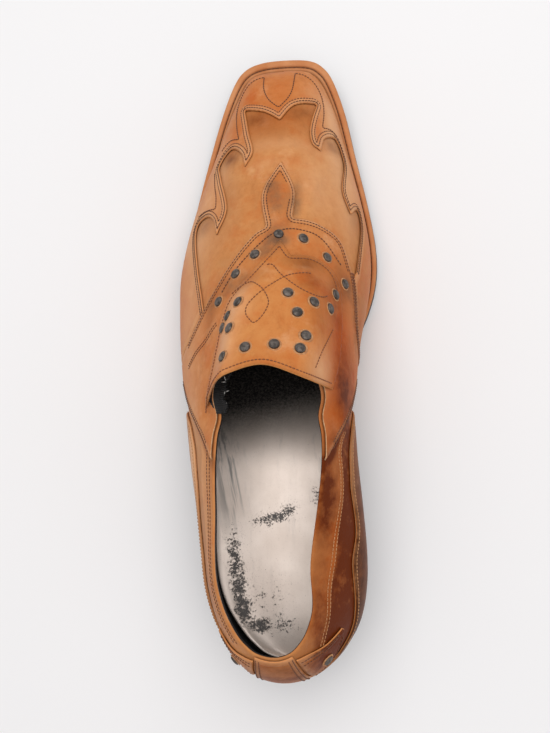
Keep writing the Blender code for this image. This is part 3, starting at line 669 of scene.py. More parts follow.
Brim = namedtuple("Brim", "y z")
SEAM = (
    Brim(-136.0, 69.5), Brim(-128.0, 70.5), Brim(-116.0, 70.0), Brim(-101.0, 66.5), Brim(-91.0, 65.5),
    Brim(-80.0, 64.0), Brim(-71.0, 63.0), Brim(-61.0, 64.0), Brim(-55.0, 65.0), Brim(-48.0, 63.0),
    Brim(-42.0, 57.0),
)
SEAM_REAR, SEAM_REAR_RUN, SEAM_FRONT, SEAM_FRONT_RUN = -146.0, 14.0, -34.0, 12.0
SEAM_OVER, SEAM_STEP, SEAM_MEDIAL, SEAM_LATERAL = 0.6, 1.8, 0.68, 0.25


def side_view(table):
    """Function that gives a side-view line's height at a station."""
    return lambda y: through(column(table, "y"), column(table, "z"), y)


seam_z = side_view(SEAM)


def below_seam(p):
    """Rubbed dark below the quarter's seam, strongly on the medial side and lightly on the lateral."""
    x, y, z = p.T
    along = ease((y - SEAM_REAR) / SEAM_REAR_RUN) * ease((SEAM_FRONT - y) / SEAM_FRONT_RUN)
    side = np.where(x > MIDDLE_X, SEAM_MEDIAL, SEAM_LATERAL)
    return along * ease((seam_z(y) - z + SEAM_OVER) / SEAM_STEP) * side


LEAF = (
    Brim(-8.0, 12.0), Brim(-21.0, 39.0), Brim(-32.0, 52.0), Brim(-40.0, 61.5), Brim(-48.0, 69.0),
    Brim(-62.0, 81.0),
)
LEAF_STEP, LEAF_BAND, LEAF_FADE, LEAF_MEDIAL, LEAF_LATERAL = 1.5, 8.0, 5.0, 0.5, 0.45


def behind_leaf(p):
    """Rubbed dark in a band behind the leaf edge: a step at the edge and a slow fade behind it."""
    x, y, z = p.T
    behind = np.interp(z, column(LEAF, "z"), column(LEAF, "y")) - y
    side = np.where(x > MIDDLE_X, LEAF_MEDIAL, LEAF_LATERAL)
    return ease((behind + LEAF_STEP) / LEAF_STEP) * ease((LEAF_BAND - behind) / LEAF_FADE) * side


def stains(p, edge, more=()):
    """The five numbers of a leather vertex, with more burnish and painted shade where a piece lies under
    others.
    """
    burnish = np.minimum(patches(p, BURNISH + more) + below_seam(p) + behind_leaf(p), MOST_BURNISH)
    return {"edge": edge, "burnish": burnish, "dirt": patches(p, DIRT_AND_SHADE), "pale": patches(p, SHEEN_AND_FADE),
            "ruddy": patches(p, RUDDY)}


print("patches of burnish:", len(BURNISH), "of dirt:", len(DIRT_AND_SHADE), "of sheen_and_fading:", len(SHEEN_AND_FADE))

# %% [markdown]
# The finish lays its colours one over another: dye in two clouded tones, faded spots, red blushes and
# streaks, painted highlights and sheen with some fading, a painted highlight on the beads beside stitched
# edges, burnish, grime with painted shade and last the specks in the grain. The grime, the painted shade
# and the mottling drive the roughness too, so the leather is dull where they are strong. The bump has a
# grain, wrinkles and pores of its own.

# %% Leather finishes
PALE_TAN, SOIL_AND_SHADE, SPECK = (0.77, 0.42, 0.215), (0.085, 0.06, 0.045), (0.09, 0.035, 0.014)
BEAD_HIGHLIGHT, RIM_LIGHT, GROOVE_WIDTH = (3.6, 0.9), 1.1, 0.3


def leather(name, tan, deep, light, gloss=0.42, rows=(), raw=False):
    """Antiqued leather: clouds of tan and red, rubbed, soiled and painted with shade and sheen by its
    vertices, pebbled by its bump.
    """
    look, shader, at = finish(name)
    edge, burnish, ruddy = number(at, "edge"), number(at, "burnish"), number(at, "ruddy")
    dirt, pale = number(at, "dirt"), number(at, "pale")
    cloud, mottle = noise(at, 38.0, 4.0), noise(at, 170.0, 5.0, 0.65)
    blush, fine = noise(at, 75.0, 4.0, 0.6), noise(at, 900.0, 3.0, 0.7)
    streak = noise(at, 150.0, 5.0, 0.65, (1.0, 0.2, 1.0))
    grain = at.add("ShaderNodeTexVoronoi", {"feature": "SMOOTH_F1"}, {"Vector": at, "Scale": 900.0})
    wrinkle = noise(at, 420.0, 4.0, 0.6, (1.0, 1.6, 1.0))
    pores = at.add("ShaderNodeTexVoronoi", {}, {"Vector": at, "Scale": 620.0}).rises(0.16, 0.05)
    red = (tan[0] * 0.95, tan[1] * 0.54, tan[2] * 0.2)
    russet = tuple((2 * a + b) / 3 for a, b in zip(tan, deep))

    tone = (cloud.rises(0.36, 0.66) * 0.55 + mottle.rises(0.28, 0.74) * 0.5).held()
    colour = tone.mix(tan, light)
    colour = (noise(at, 58.0, 5.0, 0.65).rises(0.54, 0.74) * 0.4).mix(colour, PALE_TAN)
    colour = (blush.rises(0.46, 0.7) * 0.45 + ruddy * (0.4 + mottle)).held().mix(colour, red)
    colour = (streak.rises(0.5, 0.78) * 0.45).mix(colour, russet)
    colour = (noise(at, 430.0, 5.0, 0.7).rises(0.48, 0.72) * 0.3).mix(colour, russet)
    # Painted highlight and sheen, partly faded leather: the pale number lightens towards pale tan.
    colour = (pale * (0.55 + mottle * 0.5)).held().mix(colour, PALE_TAN)
    # Painted highlight on the raised beads along a stitched raw edge.
    if rows:
        colour = (edge.rises(*BEAD_HIGHLIGHT) * 0.5).mix(colour, PALE_TAN)
    rubbed = ((burnish + edge.bell(0.0, 7.0) * 0.06) * (0.15 + mottle * 1.7)).held()
    colour = rubbed.mix(colour, deep)
    # Grime, painted shade in places, mixed in as a grey brown; it also dulls the leather below.
    soil_and_shade = (dirt * (0.2 + mottle * 1.5)).rises(0.12, 0.9)
    colour = (soil_and_shade * 0.8).mix(colour, SOIL_AND_SHADE)
    speck = (fine.rises(0.6, 0.8) * (0.14 + dirt * 0.8 + burnish * 0.35)).held()
    colour = speck.mix(colour, SPECK)
    height = grain * 0.35 + wrinkle * 0.5 - pores * 0.35
    for row in rows:
        height = height - edge.bell(row, GROOVE_WIDTH) * 0.9
    if raw:
        colour = edge.rises(0.5, 0.05).mix(colour, tuple(min(c * RIM_LIGHT, 1.0) for c in light))
    rough = (gloss - 0.08 + mottle * 0.16 + soil_and_shade * 0.25 + fine * 0.06).held()
    link(at, shader, Base_Color=colour, Roughness=rough, Normal=bump(at, height, 0.16, 0.8),
         Specular_IOR_Level=0.06)
    return look


STITCH_ROWS = (1.3, 2.8)
TAN, DEEP, LIGHT = (0.53, 0.198, 0.060), (0.125, 0.021, 0.002), (0.64, 0.285, 0.100)
vamp_leather = leather("vamp leather", TAN, DEEP, LIGHT)
wing_leather = leather("wing leather", (0.54, 0.175, 0.046), DEEP, (0.63, 0.255, 0.085),
                       rows=STITCH_ROWS, raw=True)
saddle_leather = leather("saddle leather", (0.54, 0.175, 0.044), DEEP, (0.62, 0.255, 0.078), 0.4, raw=True)
counter_leather = leather("counter leather", (0.25, 0.072, 0.015), (0.070, 0.018, 0.004),
                          (0.35, 0.115, 0.026), 0.38, rows=(1.2,), raw=True)


def raw_edge(name, dark, pale):
    """Cut edge of leather: pale fibres among darker ones."""
    look, shader, at = finish(name)
    fibre = noise(at, 700.0, 5.0, 0.7)
    link(at, shader, Base_Color=fibre.rises(0.3, 0.75).mix(dark, pale), Roughness=0.75,
         Normal=bump(at, fibre, 0.2))
    return look


cut_edge = raw_edge("cut edge", (0.24, 0.08, 0.025), (0.50, 0.23, 0.09))
pale_edge = raw_edge("pale cut edge", (0.46, 0.21, 0.085), (0.74, 0.45, 0.24))
pressed_edge = raw_edge("pressed leather", (0.38, 0.150, 0.052), (0.60, 0.31, 0.135))
rolled_rim = raw_edge("collar rim", (0.16, 0.10, 0.075), (0.42, 0.30, 0.23))


def lining():
    """Black lining: close matt grain, rubbed a little grey."""
    look, shader, at = finish("black lining")
    worn = noise(at, 60.0, 5.0, 0.65).rises(0.5, 0.8)
    grain = at.add("ShaderNodeTexVoronoi", {}, {"Vector": at, "Scale": 800.0})
    link(at, shader, Base_Color=worn.mix((0.010, 0.009, 0.009), (0.035, 0.032, 0.030)), Roughness=0.7,
         Normal=bump(at, grain, 0.15))
    return look


black_lining = lining()
print("finishes so far:", [look.name for look in bpy.data.materials])

# %% [markdown]
# ## The upper
# Vamp and quarters are one wall over the last, open at the collar. Its rows crowd together at the top,
# where the leather rolls over the topline, and a Solidify modifier grows the black lining inwards.

# %% Upper
COLLAR = (
    Brim(-160.0, 86.0), Brim(-140.0, 85.0), Brim(-125.0, 81.0), Brim(-105.0, 78.0), Brim(-70.0, 77.0),
    Brim(-43.0, 77.0), Brim(-28.0, 78.5), Brim(-15.0, 83.5), Brim(-8.0, 89.0), Brim(-3.0, 98.0),
    Brim(8.0, 140.0),
)
collar_z = side_view(COLLAR)
UPPER_STEP, UPPER_ROWS, ROLL, ROLL_DEPTH = 1.7, 54, 1.6, 0.9
AT_SPINE, NO_EDGE, RIM_EDGE = 0.999, 99.0, 1.5


def crowded(low, high, rows, power=1.5):
    """Heights up each rib between two of them, closer together at the top."""
    w = 1 - (1 - np.linspace(0, 1, rows)) ** power
    return low[:, None] + (high - low)[:, None] * w[None, :]


s = round_ring(places(UPPER_STEP))
top = rib_where(s, collar_z)
t = crowded(np.zeros_like(s), top, UPPER_ROWS)
wall_points = rib_point(s[:, None], t)
below_top = np.linalg.norm(wall_points - wall_points[:, -1:], axis=-1)
at_collar = top[:, None] < AT_SPINE
roll = np.where(at_collar, np.clip(1 - below_top / ROLL, 0, 1), 0)
points = lifted(s[:, None], t, -ROLL_DEPTH * (1 - np.sqrt(1 - roll * roll))).reshape(-1, 3)
edge = np.where(at_collar, below_top + RIM_EDGE, NO_EDGE).ravel()
# The vamp takes burnish and painted shade under the wing's edges.
upper = build("upper_leather", points, grid_faces(len(s), UPPER_ROWS, True),
              [vamp_leather, black_lining, rolled_rim], stains(points, edge, UNDER_WING_BURNISH_AND_SHADE))
thicken(upper, WALL, 1, 2)
dress(upper, "upper", "upper")

# %% [markdown]
# ## Cutting the overlays
# A shoemaker cuts an overlay from a flat skin and lasts it over the vamp. A Boolean would leave long
# thin triangles, so a fine grid is laid on the last, faces outside the outline are dropped, and the
# vertices left at the rim slide along the surface on to the outline.


# %% Outlines and trimming
Mark = namedtuple("Mark", "x y corner", defaults=(False,))
STEPS = 10


def traced(marks):
    """Curve through marks, rounded between corners and sharp at them: a cubic between four marks."""
    xy = np.column_stack([column(marks, "x"), column(marks, "y")])
    sharp = column(marks, "corner") > 0
    points = []
    for i in range(len(marks) - 1):
        b, c = xy[i], xy[i + 1]
        a = 2 * b - c if sharp[i] else xy[i - 1]
        d = 2 * c - b if sharp[i + 1] else xy[i + 2]
        f = np.arange(STEPS)[:, None] / STEPS
        points.append(between(a, b, c, d, f))
    return np.concatenate(points + [xy[-1:]])


def to_segments(points, a, b, chunk=4000):
    """Distance from points to the nearest of many segments, and the nearest place on it."""
    far, near = [], []
    run = b - a
    size = np.maximum((run * run).sum(-1), TINY)
    for q in np.array_split(points, max(len(points) // chunk, 1)):
        f = np.clip(((q[:, None] - a) * run).sum(-1) / size, 0, 1)
        off = q[:, None] - a - f[..., None] * run
        d = (off * off).sum(-1)
        k = np.argmin(d, axis=1)
        rows = np.arange(len(q))
        far.append(np.sqrt(d[rows, k]))
        near.append(a[k] + f[rows, k][:, None] * run[k])
    return np.concatenate(far), np.concatenate(near)


def inside(points, outline):
    """True where a ray from a point crosses a closed outline an odd number of times."""
    a, b = outline, np.roll(outline, -1, axis=0)
    odd = np.zeros(len(points), bool)
    for (ax, ay), (bx, by) in zip(a, b):
        if ay != by:
            spans = (points[:, 1] > min(ay, by)) & (points[:, 1] <= max(ay, by))
            odd ^= spans & (points[:, 0] < ax + (points[:, 1] - ay) * (bx - ax) / (by - ay))
    return odd


PLAN, SIDE = [0, 1], [1, 2]
Cut = namedtuple("Cut", "outline axes keep medial", defaults=(False,))
FAR, LEAST_LEAN, MOST_SLIDE = 1000.0, 0.2, 2.5


def trim(points, outward, faces, cuts):
    """Faces within every outline; rim vertices moved on to the outline within the surface's own plane."""
    worst = np.full(len(points), -np.inf)
    shift = np.zeros_like(points)
    for cut in cuts:
        flat = points[:, cut.axes]
        d, near = to_segments(flat, cut.outline, np.roll(cut.outline, -1, axis=0))
        d = np.where(inside(flat, cut.outline) == cut.keep, -d, d)
        if cut.medial:
            d = np.where(points[:, 0] > MIDDLE_X, d, -FAR)
        free = 3 - sum(cut.axes)
        move = np.zeros_like(points)
        move[:, cut.axes] = near - flat
        lean = outward[:, free]
        lean = np.where(np.abs(lean) < LEAST_LEAN, np.copysign(LEAST_LEAN, lean), lean)
        move[:, free] = -(move * outward).sum(-1) / lean
        shift = np.where((d > worst)[:, None], move, shift)
        worst = np.maximum(worst, d)
    keep = worst[faces].mean(1) < 0
    pairs = np.sort(np.stack([faces, np.roll(faces, -1, axis=1)], -1).reshape(-1, 2), axis=1)
    key = pairs[:, 0] * len(points) + pairs[:, 1]
    kept_key = key.reshape(-1, 4)[keep].ravel()
    lost = np.intersect1d(kept_key, key.reshape(-1, 4)[~keep].ravel())
    rim = np.stack([lost // len(points), lost % len(points)], -1)
    moved = points.copy()
    on_rim = np.unique(rim)
    size = np.linalg.norm(shift[on_rim], axis=1, keepdims=True)
    moved[on_rim] += shift[on_rim] * np.minimum(1, MOST_SLIDE / np.maximum(size, TINY))
    return moved, faces[keep], rim


SKIVE, SKIVED, TUCK = 1.4, 0.2, 0.4


def rounded(edge):
    """Share of the full thickness near a raw edge: a quarter circle over the skived width."""
    return np.sqrt(1 - (1 - np.clip(edge / SKIVE, 0, 1)) ** 2)


def overlay(name, surface, s, rows, cuts, looks, slot, *nodes):
    """Layer of leather: trimmed sheet, thinned to a rounded edge along its rim, with a real wall."""
    grid = surface(s[:, None], rows, 0.0)
    base = grid.reshape(-1, 3)
    outward = surface(s[:, None], rows, 1.0).reshape(-1, 3) - base
    moved, faces, rim = trim(base, grid_normals(grid).reshape(-1, 3), grid_faces(*rows.shape), cuts)
    used = np.unique(faces)
    edge = np.full(len(moved), NO_EDGE)
    edge[used], _ = to_segments(moved[used], moved[rim[:, 0]], moved[rim[:, 1]])
    moved += outward * (SKIVED + (LEATHER - SKIVED) * rounded(edge))[:, None]
    made = build(name, moved, faces, looks, stains(moved, edge))
    thicken(made, SKIVED + TUCK, 1, 1)
    dress(made, slot, *nodes)


# %% [markdown]
# ## Toe wing, apron and saddle
# The wing frames the toe with scrolled hooks, the apron carries the spade and the leaf edges on the
# quarters, and the saddle is a stiff flap that stands over the throat. Their outlines are short tables
# of marks seen from above; the leaf edge and the wing's tail along the flank are seen from the side.

# %% Outlines of the overlays
WING = (
    Mark(-28.8, 12.0, True), Mark(-34.5, 36.0), Mark(-38.3, 59.0), Mark(-32.0, 63.5), Mark(-26.7, 59.4),
    Mark(-24.4, 50.4, True), Mark(-19.6, 64.0), Mark(-24.2, 82.5), Mark(-26.0, 92.0), Mark(-19.4, 98.2),
    Mark(-13.2, 93.0), Mark(-10.9, 84.8, True), Mark(-7.0, 92.5), Mark(-10.0, 105.0),
    Mark(-13.1, 120.0, True), Mark(-2.5, 116.2), Mark(5.5, 110.6, True), Mark(12.3, 119.6),
    Mark(23.0, 122.4, True), Mark(20.1, 107.9), Mark(21.2, 98.0), Mark(25.4, 94.5, True),
    Mark(27.0, 102.6), Mark(32.4, 105.6), Mark(36.1, 93.0), Mark(35.4, 76.0), Mark(39.5, 63.7, True),
    Mark(42.6, 68.5), Mark(44.2, 58.0), Mark(41.9, 33.7, True),
)
APRON = (
    Mark(-60.0, -25.0, True), Mark(-38.6, -1.2), Mark(-25.7, 17.5), Mark(-15.0, 33.3), Mark(-4.7, 45.5),
    Mark(1.3, 49.2, True), Mark(-1.2, 68.0), Mark(7.2, 85.8, True), Mark(14.0, 70.0),
    Mark(13.6, 54.5, True), Mark(25.0, 53.1), Mark(34.6, 47.1), Mark(39.6, 32.0), Mark(43.0, 16.0),
    Mark(56.0, -14.0, True),
)
SADDLE = (
    Mark(-25.5, -35.0, True), Mark(-20.5, -14.0), Mark(-18.0, 2.0), Mark(-14.5, 14.0), Mark(-2.8, 27.0),
    Mark(8.8, 41.9, True), Mark(13.5, 34.0, True), Mark(22.7, 34.4), Mark(30.5, 30.0), Mark(34.5, 22.0),
    Mark(35.5, 8.0), Mark(34.6, -12.0), Mark(31.6, -26.6, True), Mark(21.5, -24.4), Mark(4.8, -18.9),
    Mark(-9.8, -22.0), Mark(-18.4, -27.0), Mark(-25.5, -35.0, True),
)
TAIL = (
    Mark(32.0, 48.0, True), Mark(26.0, 47.8), Mark(17.8, 47.6), Mark(10.0, 46.5), Mark(1.7, 42.5),
    Mark(-3.5, 36.5), Mark(-6.5, 28.0), Mark(-10.0, 12.0, True),
)
APRON_FRONT = 12 * STEPS + 1
SADDLE_NOTCH, SADDLE_CORNER = 6, 12


def joined(line, *corners):
    """Outline made of a line and the corners that lead back to its start, clear of the piece."""
    return np.vstack([line, corners])


wing_line, apron_line, saddle_line, tail_line = (traced(t) for t in (WING, APRON, SADDLE, TAIL))
leaf_line = np.column_stack([column(LEAF, "y"), column(LEAF, "z")])
wing_hole = joined(wing_line, (39.8, 27.0), (36.0, 20.0), (36.0, -60.0), (-28.8, -60.0))
apron_area = joined(apron_line, (56.0, -95.0), (-60.0, -95.0))
apron_top = joined(apron_line[:APRON_FRONT], (36.0, 20.0), (36.0, -95.0), (-60.0, -95.0))
leaf_rear = joined(leaf_line, (-160.0, 130.0), (-160.0, 12.0))
tail_front = joined(tail_line, (-10.0, 4.0), (32.0, 4.0))
tail_rear = joined(tail_line, (-10.0, 4.0), (-160.0, 4.0), (-160.0, 130.0), (32.0, 130.0))
print("points on the wing's edge:", len(wing_line), "and on the apron's:", len(apron_line))

# %% [markdown]
# The wing and the apron lie on the vamp in one layer. The wing stops half a millimetre in front of the
# apron's outline, so a fine parting shows where the two skins meet edge to edge.

# %% Wing and apron
LAY_STEP, LAY_ROWS, WELT_CLEAR, PARTING = 1.15, 84, 0.4, 0.5
WING_REAR, APRON_REAR, APRON_TOE = -28.0, -76.0, 90.0


def over_seat(s, t, lift):
    """The last's surface with room for the layer below."""
    return lifted(s, t, SEAT + lift)


def rows_over_welt(s):
    """Heights up each rib from just above the welt to the collar or the spine."""
    clear = rib_where(s, lambda y: sole_z(y) + OUTSOLE + WELT + WELT_CLEAR)
    return crowded(clear, rib_where(s, collar_z), LAY_ROWS, 1.0)


half = places(LAY_STEP)
s = front_ring(half, WING_REAR)
cuts = [Cut(wing_hole, PLAN, False), Cut(apron_top + (0.0, PARTING), PLAN, False),
        Cut(tail_rear + (PARTING, 0.0), SIDE, False, True)]
overlay("toe_wing_leather", over_seat, s, rows_over_welt(s), cuts, [wing_leather, cut_edge],
        "overlay", "toe_wing")
s = front_ring(half, APRON_REAR)
s = s[station(s) < APRON_TOE]
cuts = [Cut(apron_area, PLAN, True), Cut(leaf_rear, SIDE, False), Cut(tail_front, SIDE, False, True)]
overlay("apron_leather", over_seat, s, rows_over_welt(s), cuts, [wing_leather, pale_edge],
        "overlay", "apron")

# %% [markdown]
# The saddle leaves the last along its two sides. Its top is a rounded ridge above the spine, and smooth
# steps from both sides and from the front carry the surface from the last up to that ridge.

# %% Saddle
SADDLE_LIFT, SADDLE_FOOT, SADDLE_ROWS = 2.3, 0.35, 90
SADDLE_STEP, SADDLE_REAR, SADDLE_TOE = 0.9, -51.0, 60.0
FLAP_CROWN, FLAP_FALL, FLAP_ROUND = 3.0, 0.25, 5.0
FLAP_LATERAL, FLAP_MEDIAL, FLAP_FRONT, FLAP_FADE = 10.0, 14.0, 36.0, 22.0


def flap_point(s, t, lift):
    """Saddle: it leaves the last along its two sides and stands up as a crowned top."""
    p = lifted(s, t, SADDLE_LIFT + lift)
    x, y, z = np.moveaxis(p, -1, 0)
    lateral, medial = SADDLE[:SADDLE_NOTCH], SADDLE[SADDLE_CORNER:SADDLE_NOTCH:-1]
    left = x - np.interp(y, column(lateral, "y"), column(lateral, "x"))
    right = np.interp(y, column(medial, "y"), column(medial, "x")) - x
    middle, top, _ = spine_point(y)
    fall = np.hypot(x - middle[..., 0], FLAP_ROUND) - FLAP_ROUND
    crown = top + SADDLE_LIFT + lift + FLAP_CROWN - FLAP_FALL * fall
    free = ease(left / FLAP_LATERAL) * ease(right / FLAP_MEDIAL) * ease((FLAP_FRONT - y) / FLAP_FADE)
    return np.stack([x, y, z + free * np.maximum(crown - z, 0)], -1)


def flap_rows(s, count):
    """Heights up each rib from the saddle's foot to the spine."""
    return crowded(np.full_like(s, SADDLE_FOOT), np.ones_like(s), count, 1.0)


s = front_ring(places(SADDLE_STEP), SADDLE_REAR)
s = s[station(s) < SADDLE_TOE]
overlay("saddle_leather", flap_point, s, flap_rows(s, SADDLE_ROWS), [Cut(saddle_line[:-1], PLAN, True)],
        [saddle_leather, cut_edge], "saddle", "saddle")

# %% [markdown]
# ## Heel pieces
# The counter wraps the heel with a wavy upper edge, a strap covers the back seam, and a pointed scroll
# reaches out from it on each side. Their edges are simple heights, so their grids need no trimming.

# %% Counter, strap and scrolls
COUNTER = (
    Brim(-160.0, 49.0), Brim(-138.0, 49.0), Brim(-122.0, 52.5), Brim(-102.0, 56.0), Brim(-88.0, 53.0),
    Brim(-66.0, 57.5), Brim(-46.0, 54.0), Brim(-36.0, 45.0), Brim(-31.0, 33.0),
)
counter_z = side_view(COUNTER)
Scroll = namedtuple("Scroll", "span low high")
SCROLL = (
    Scroll(1.06, 52.0, 81.0), Scroll(1.6, 52.5, 78.0), Scroll(2.2, 53.5, 73.0), Scroll(2.9, 55.5, 67.0),
    Scroll(3.6, 58.5, 61.0),
)
STRAP = 1.0
BAND_EDGE, BAND, BAND_TUCK = 0.55, 1.35, 0.1
BAND_STEP, BAND_ROWS, SCROLL_ROWS, STRAP_PLACES, SCROLL_PLACES = 1.4, 34, 26, 21, 40
FOOT_CLEAR, STRAP_CLEAR, COLLAR_CLEAR = 0.6, 1.0, 0.6
COUNTER_DARK, COUNTER_RIM, COUNTER_FADE = 0.5, 4.0, 14.0


def outwards(s, t, lift):
    """Points at a distance outside the last and the directions that lead out of it there."""
    p = lifted(s, t, lift)
    return p, lifted(s, t, lift + 1.0) - p


def band(name, s, low, high, count, seat, looks, slot, node, open_foot=True):
    """Layer between two heights on each rib; its edge number is the distance from its nearest raw side."""
    rows = low[:, None] + (high - low)[:, None] * np.linspace(0, 1, count)[None, :]
    base, outward = outwards(s[:, None], rows, seat)
    sides = [base[:, -1], base[0], base[-1]] + ([] if open_foot else [base[:, 0]])
    flat = base.reshape(-1, 3)
    ends = np.concatenate([np.stack([line[:-1], line[1:]], 1) for line in sides])
    edge, _ = to_segments(flat, ends[:, 0], ends[:, 1])
    rise = BAND_EDGE - seat + (BAND - BAND_EDGE) * rounded(edge)
    flat = flat + outward.reshape(-1, 3) * rise[:, None]
    numbers = stains(flat, edge)
    if slot == "counter":
        inner = ease((edge - COUNTER_RIM) / COUNTER_FADE)
        numbers["burnish"] = patches(flat, BURNISH) + COUNTER_DARK * inner
    made = build(name, flat, grid_faces(len(s), count), looks, numbers)
    thicken(made, BAND_EDGE - BAND_TUCK, 1, 1)
    dress(made, slot, node)


def scroll_edge(s, span, name):
    """Heights up the ribs of a scroll's lower or upper edge, at spans away from the back seam."""
    return rib_where(s, lambda y: through(column(SCROLL, "span"), column(SCROLL, name), span)[:, None])


heel_half = places(BAND_STEP)
s = rear_ring(heel_half, COUNTER[-1].y)
foot = rib_where(s, lambda y: sole_z(y) + OUTSOLE + FOOT_CLEAR)
band("counter_leather", s, foot, rib_where(s, counter_z), BAND_ROWS, COUNTER_SEAT,
     [counter_leather, pale_edge], "counter", "counter")
s = np.linspace(TURN - STRAP, TURN + STRAP, STRAP_PLACES)
foot = rib_where(s, lambda y: counter_z(y) + STRAP_CLEAR)
band("back_strap_leather", s, foot, rib_where(s, lambda y: collar_z(y) - COLLAR_CLEAR), BAND_ROWS, SEAT,
     [wing_leather, cut_edge], "overlay", "back_strap")
for side, turn in (("lat", 0.0), ("med", TURN)):
    s = np.sort(np.abs(turn - np.linspace(SCROLL[0].span, SCROLL[-1].span, SCROLL_PLACES)))
    low, high = (scroll_edge(s, np.abs(turn - s), name) for name in ("low", "high"))
    band("scroll_leather_" + side, s, low, high, SCROLL_ROWS, SEAT, [wing_leather, cut_edge],
         "overlay", "heel_scroll_" + side, False)

# %% [markdown]
# ## Sole and heel
# The sole is a plate with a rounded edge. Its section at each place along the shoe is a closed loop:
# along the bottom, up the lateral edge, back over the top and down the medial edge. The same function
# makes the heel with its layers and the sock inside the shoe.


# %% Dark sole finishes
def sole_finish(name, dark, worn, layers=0.0, rough=0.5):
    """Dark edge dressing, scuffed lighter, with the thin lines of stacked layers where there are any."""
    look, shader, at = finish(name)
    scuff = noise(at, 120.0, 6.0, 0.7, (1.0, 1.0, 4.0)).rises(0.55, 0.85)
    fine = noise(at, 900.0, 3.0, 0.6)
    colour = (scuff * 0.7).mix(dark, worn)
    height = fine * 0.4 - scuff * 0.3
    if layers:
        level = at.add("ShaderNodeSeparateXYZ", values={"Vector": at}, output=2) / (layers * MM)
        line = level.math("FRACT", level).bell(0.5, 0.06)
        colour = (line * 0.8).mix(colour, tuple(c * 0.3 for c in dark))
        height = height - line * 1.5
    link(at, shader, Base_Color=colour, Roughness=(rough + scuff * 0.25 + fine * 0.1).held(),
         Normal=bump(at, height, 0.2))
    return look


LAYER = 3.4
sole_edge_finish = sole_finish("dark sole edge", (0.022, 0.014, 0.010), (0.10, 0.062, 0.04))
heel_finish = sole_finish("stacked heel", (0.030, 0.017, 0.011), (0.11, 0.065, 0.04), LAYER)
lift_finish = sole_finish("black rubber", (0.012, 0.012, 0.012), (0.06, 0.058, 0.055), 0.0, 0.7)
print("heel layers are", LAYER, "mm thick")


# %% Plates
ACROSS = 26


def plate(s, profile):
    """Section loop at each place: profile rows give inset and height; sheets join the two sides."""
    def side(places_, row):
        inset, height = row
        edge, _ = sole_edge(places_, np.broadcast_to(inset(places_), places_.shape))
        return np.concatenate([edge, height(edge[:, 1])[:, None]], -1)
    lateral = [side(s, row) for row in profile]
    medial = [side(TURN - s, row) for row in profile]
    f = np.linspace(0, 1, ACROSS)[1:-1, None, None]
    over = lateral[-1] + f * (medial[-1] - lateral[-1])
    under = medial[0] + f * (lateral[0] - medial[0])
    rows = np.concatenate([np.stack(lateral), over, np.stack(medial[::-1]), under])
    return np.moveaxis(rows, 0, 1)


def add_plate(name, s, profile, look, slot, node, closed=True, numbers=None, sag=None):
    """Plate as a mesh, its last section capped where it doesn't run out to a point."""
    grid = plate(s, profile)
    if sag:
        grid = sag(grid, len(profile))
    columns, rows = grid.shape[:2]
    caps = [] if closed else [range(rows * (columns - 1), rows * columns)]
    values = numbers(grid.reshape(-1, 3)) if numbers else None
    made = build(name, grid, loop_faces(columns, rows), [look], values, caps)
    face_out(made)
    dress(made, slot, node)


def just(value):
    """The same inset at every place."""
    return lambda s: np.full_like(s, value)


def over_floor(height):
    """The same height at every station."""
    return lambda y: np.full_like(y, height)


def over_sole(rise):
    """A height that follows the underside of the sole."""
    return lambda y: sole_z(y) + rise


# %% [markdown]
# A plate's edge is a list of insets and heights. The sole's heights follow its underside. The heel's are
# flat levels, and each level's inset adds up the taper and the groove between two layers.

# %% Sole and heel
Bevel = namedtuple("Bevel", "inset rise")
SOLE_EDGE = (
    Bevel(1.1, 0.0), Bevel(0.45, 0.18), Bevel(0.08, 0.8), Bevel(0.0, 1.8), Bevel(0.0, 3.4), Bevel(0.1, 4.3),
    Bevel(0.5, 4.85), Bevel(1.2, 5.0),
)
LIFT_EDGE = (
    Bevel(0.9, 0.0), Bevel(0.25, 0.25), Bevel(0.0, 0.9), Bevel(0.0, 5.2), Bevel(0.15, 5.8), Bevel(0.5, 6.0),
)
SOLE_STEP, HEEL_PLACES, HEEL_LEVELS, HEEL_GAP = 2.0, 60, 60, 0.02
HEEL_IN, GROOVE, GROOVE_RUN = 0.8, 0.22, 0.25


def heel_side(z):
    """Inset of the heel's side from the sole's edge: it tapers towards the floor."""
    return HEEL_IN + HEEL_TAPER * (1 - z / HEEL_RISE)


def groove(z):
    """Depth of the fine groove between two layers of the heel: a bell at each layer's edge."""
    phase = (z - LIFT) / LAYER
    return GROOVE * np.exp(-((phase - np.round(phase)) * LAYER / GROOVE_RUN) ** 2)


whole = places(SOLE_STEP)
profile = [(just(row.inset), over_sole(row.rise)) for row in SOLE_EDGE]
add_plate("sole_plate", whole, profile, sole_edge_finish, "sole", "outsole")
seat = np.linspace(0, float(np.interp(BREAST, station(whole), whole)), HEEL_PLACES)
levels = np.linspace(LIFT + HEEL_GAP, HEEL_RISE - HEEL_GAP, HEEL_LEVELS)
profile = [(just(heel_side(z) + groove(z)), over_floor(z)) for z in levels]
add_plate("heel_stack", seat, profile, heel_finish, "heel", "heel_block", False)
profile = [(just(row.inset + heel_side(row.rise)), over_floor(row.rise)) for row in LIFT_EDGE]
add_plate("heel_lift", seat, profile, lift_finish, "lift", "top_lift", False)

# %% [markdown]
# ## The welt
# The welt is a strip of tan leather round the forepart. It is one profile carried along the sole's
# edge: rounded outside, cut by a channel for the stitches and pressed down beside the upper.

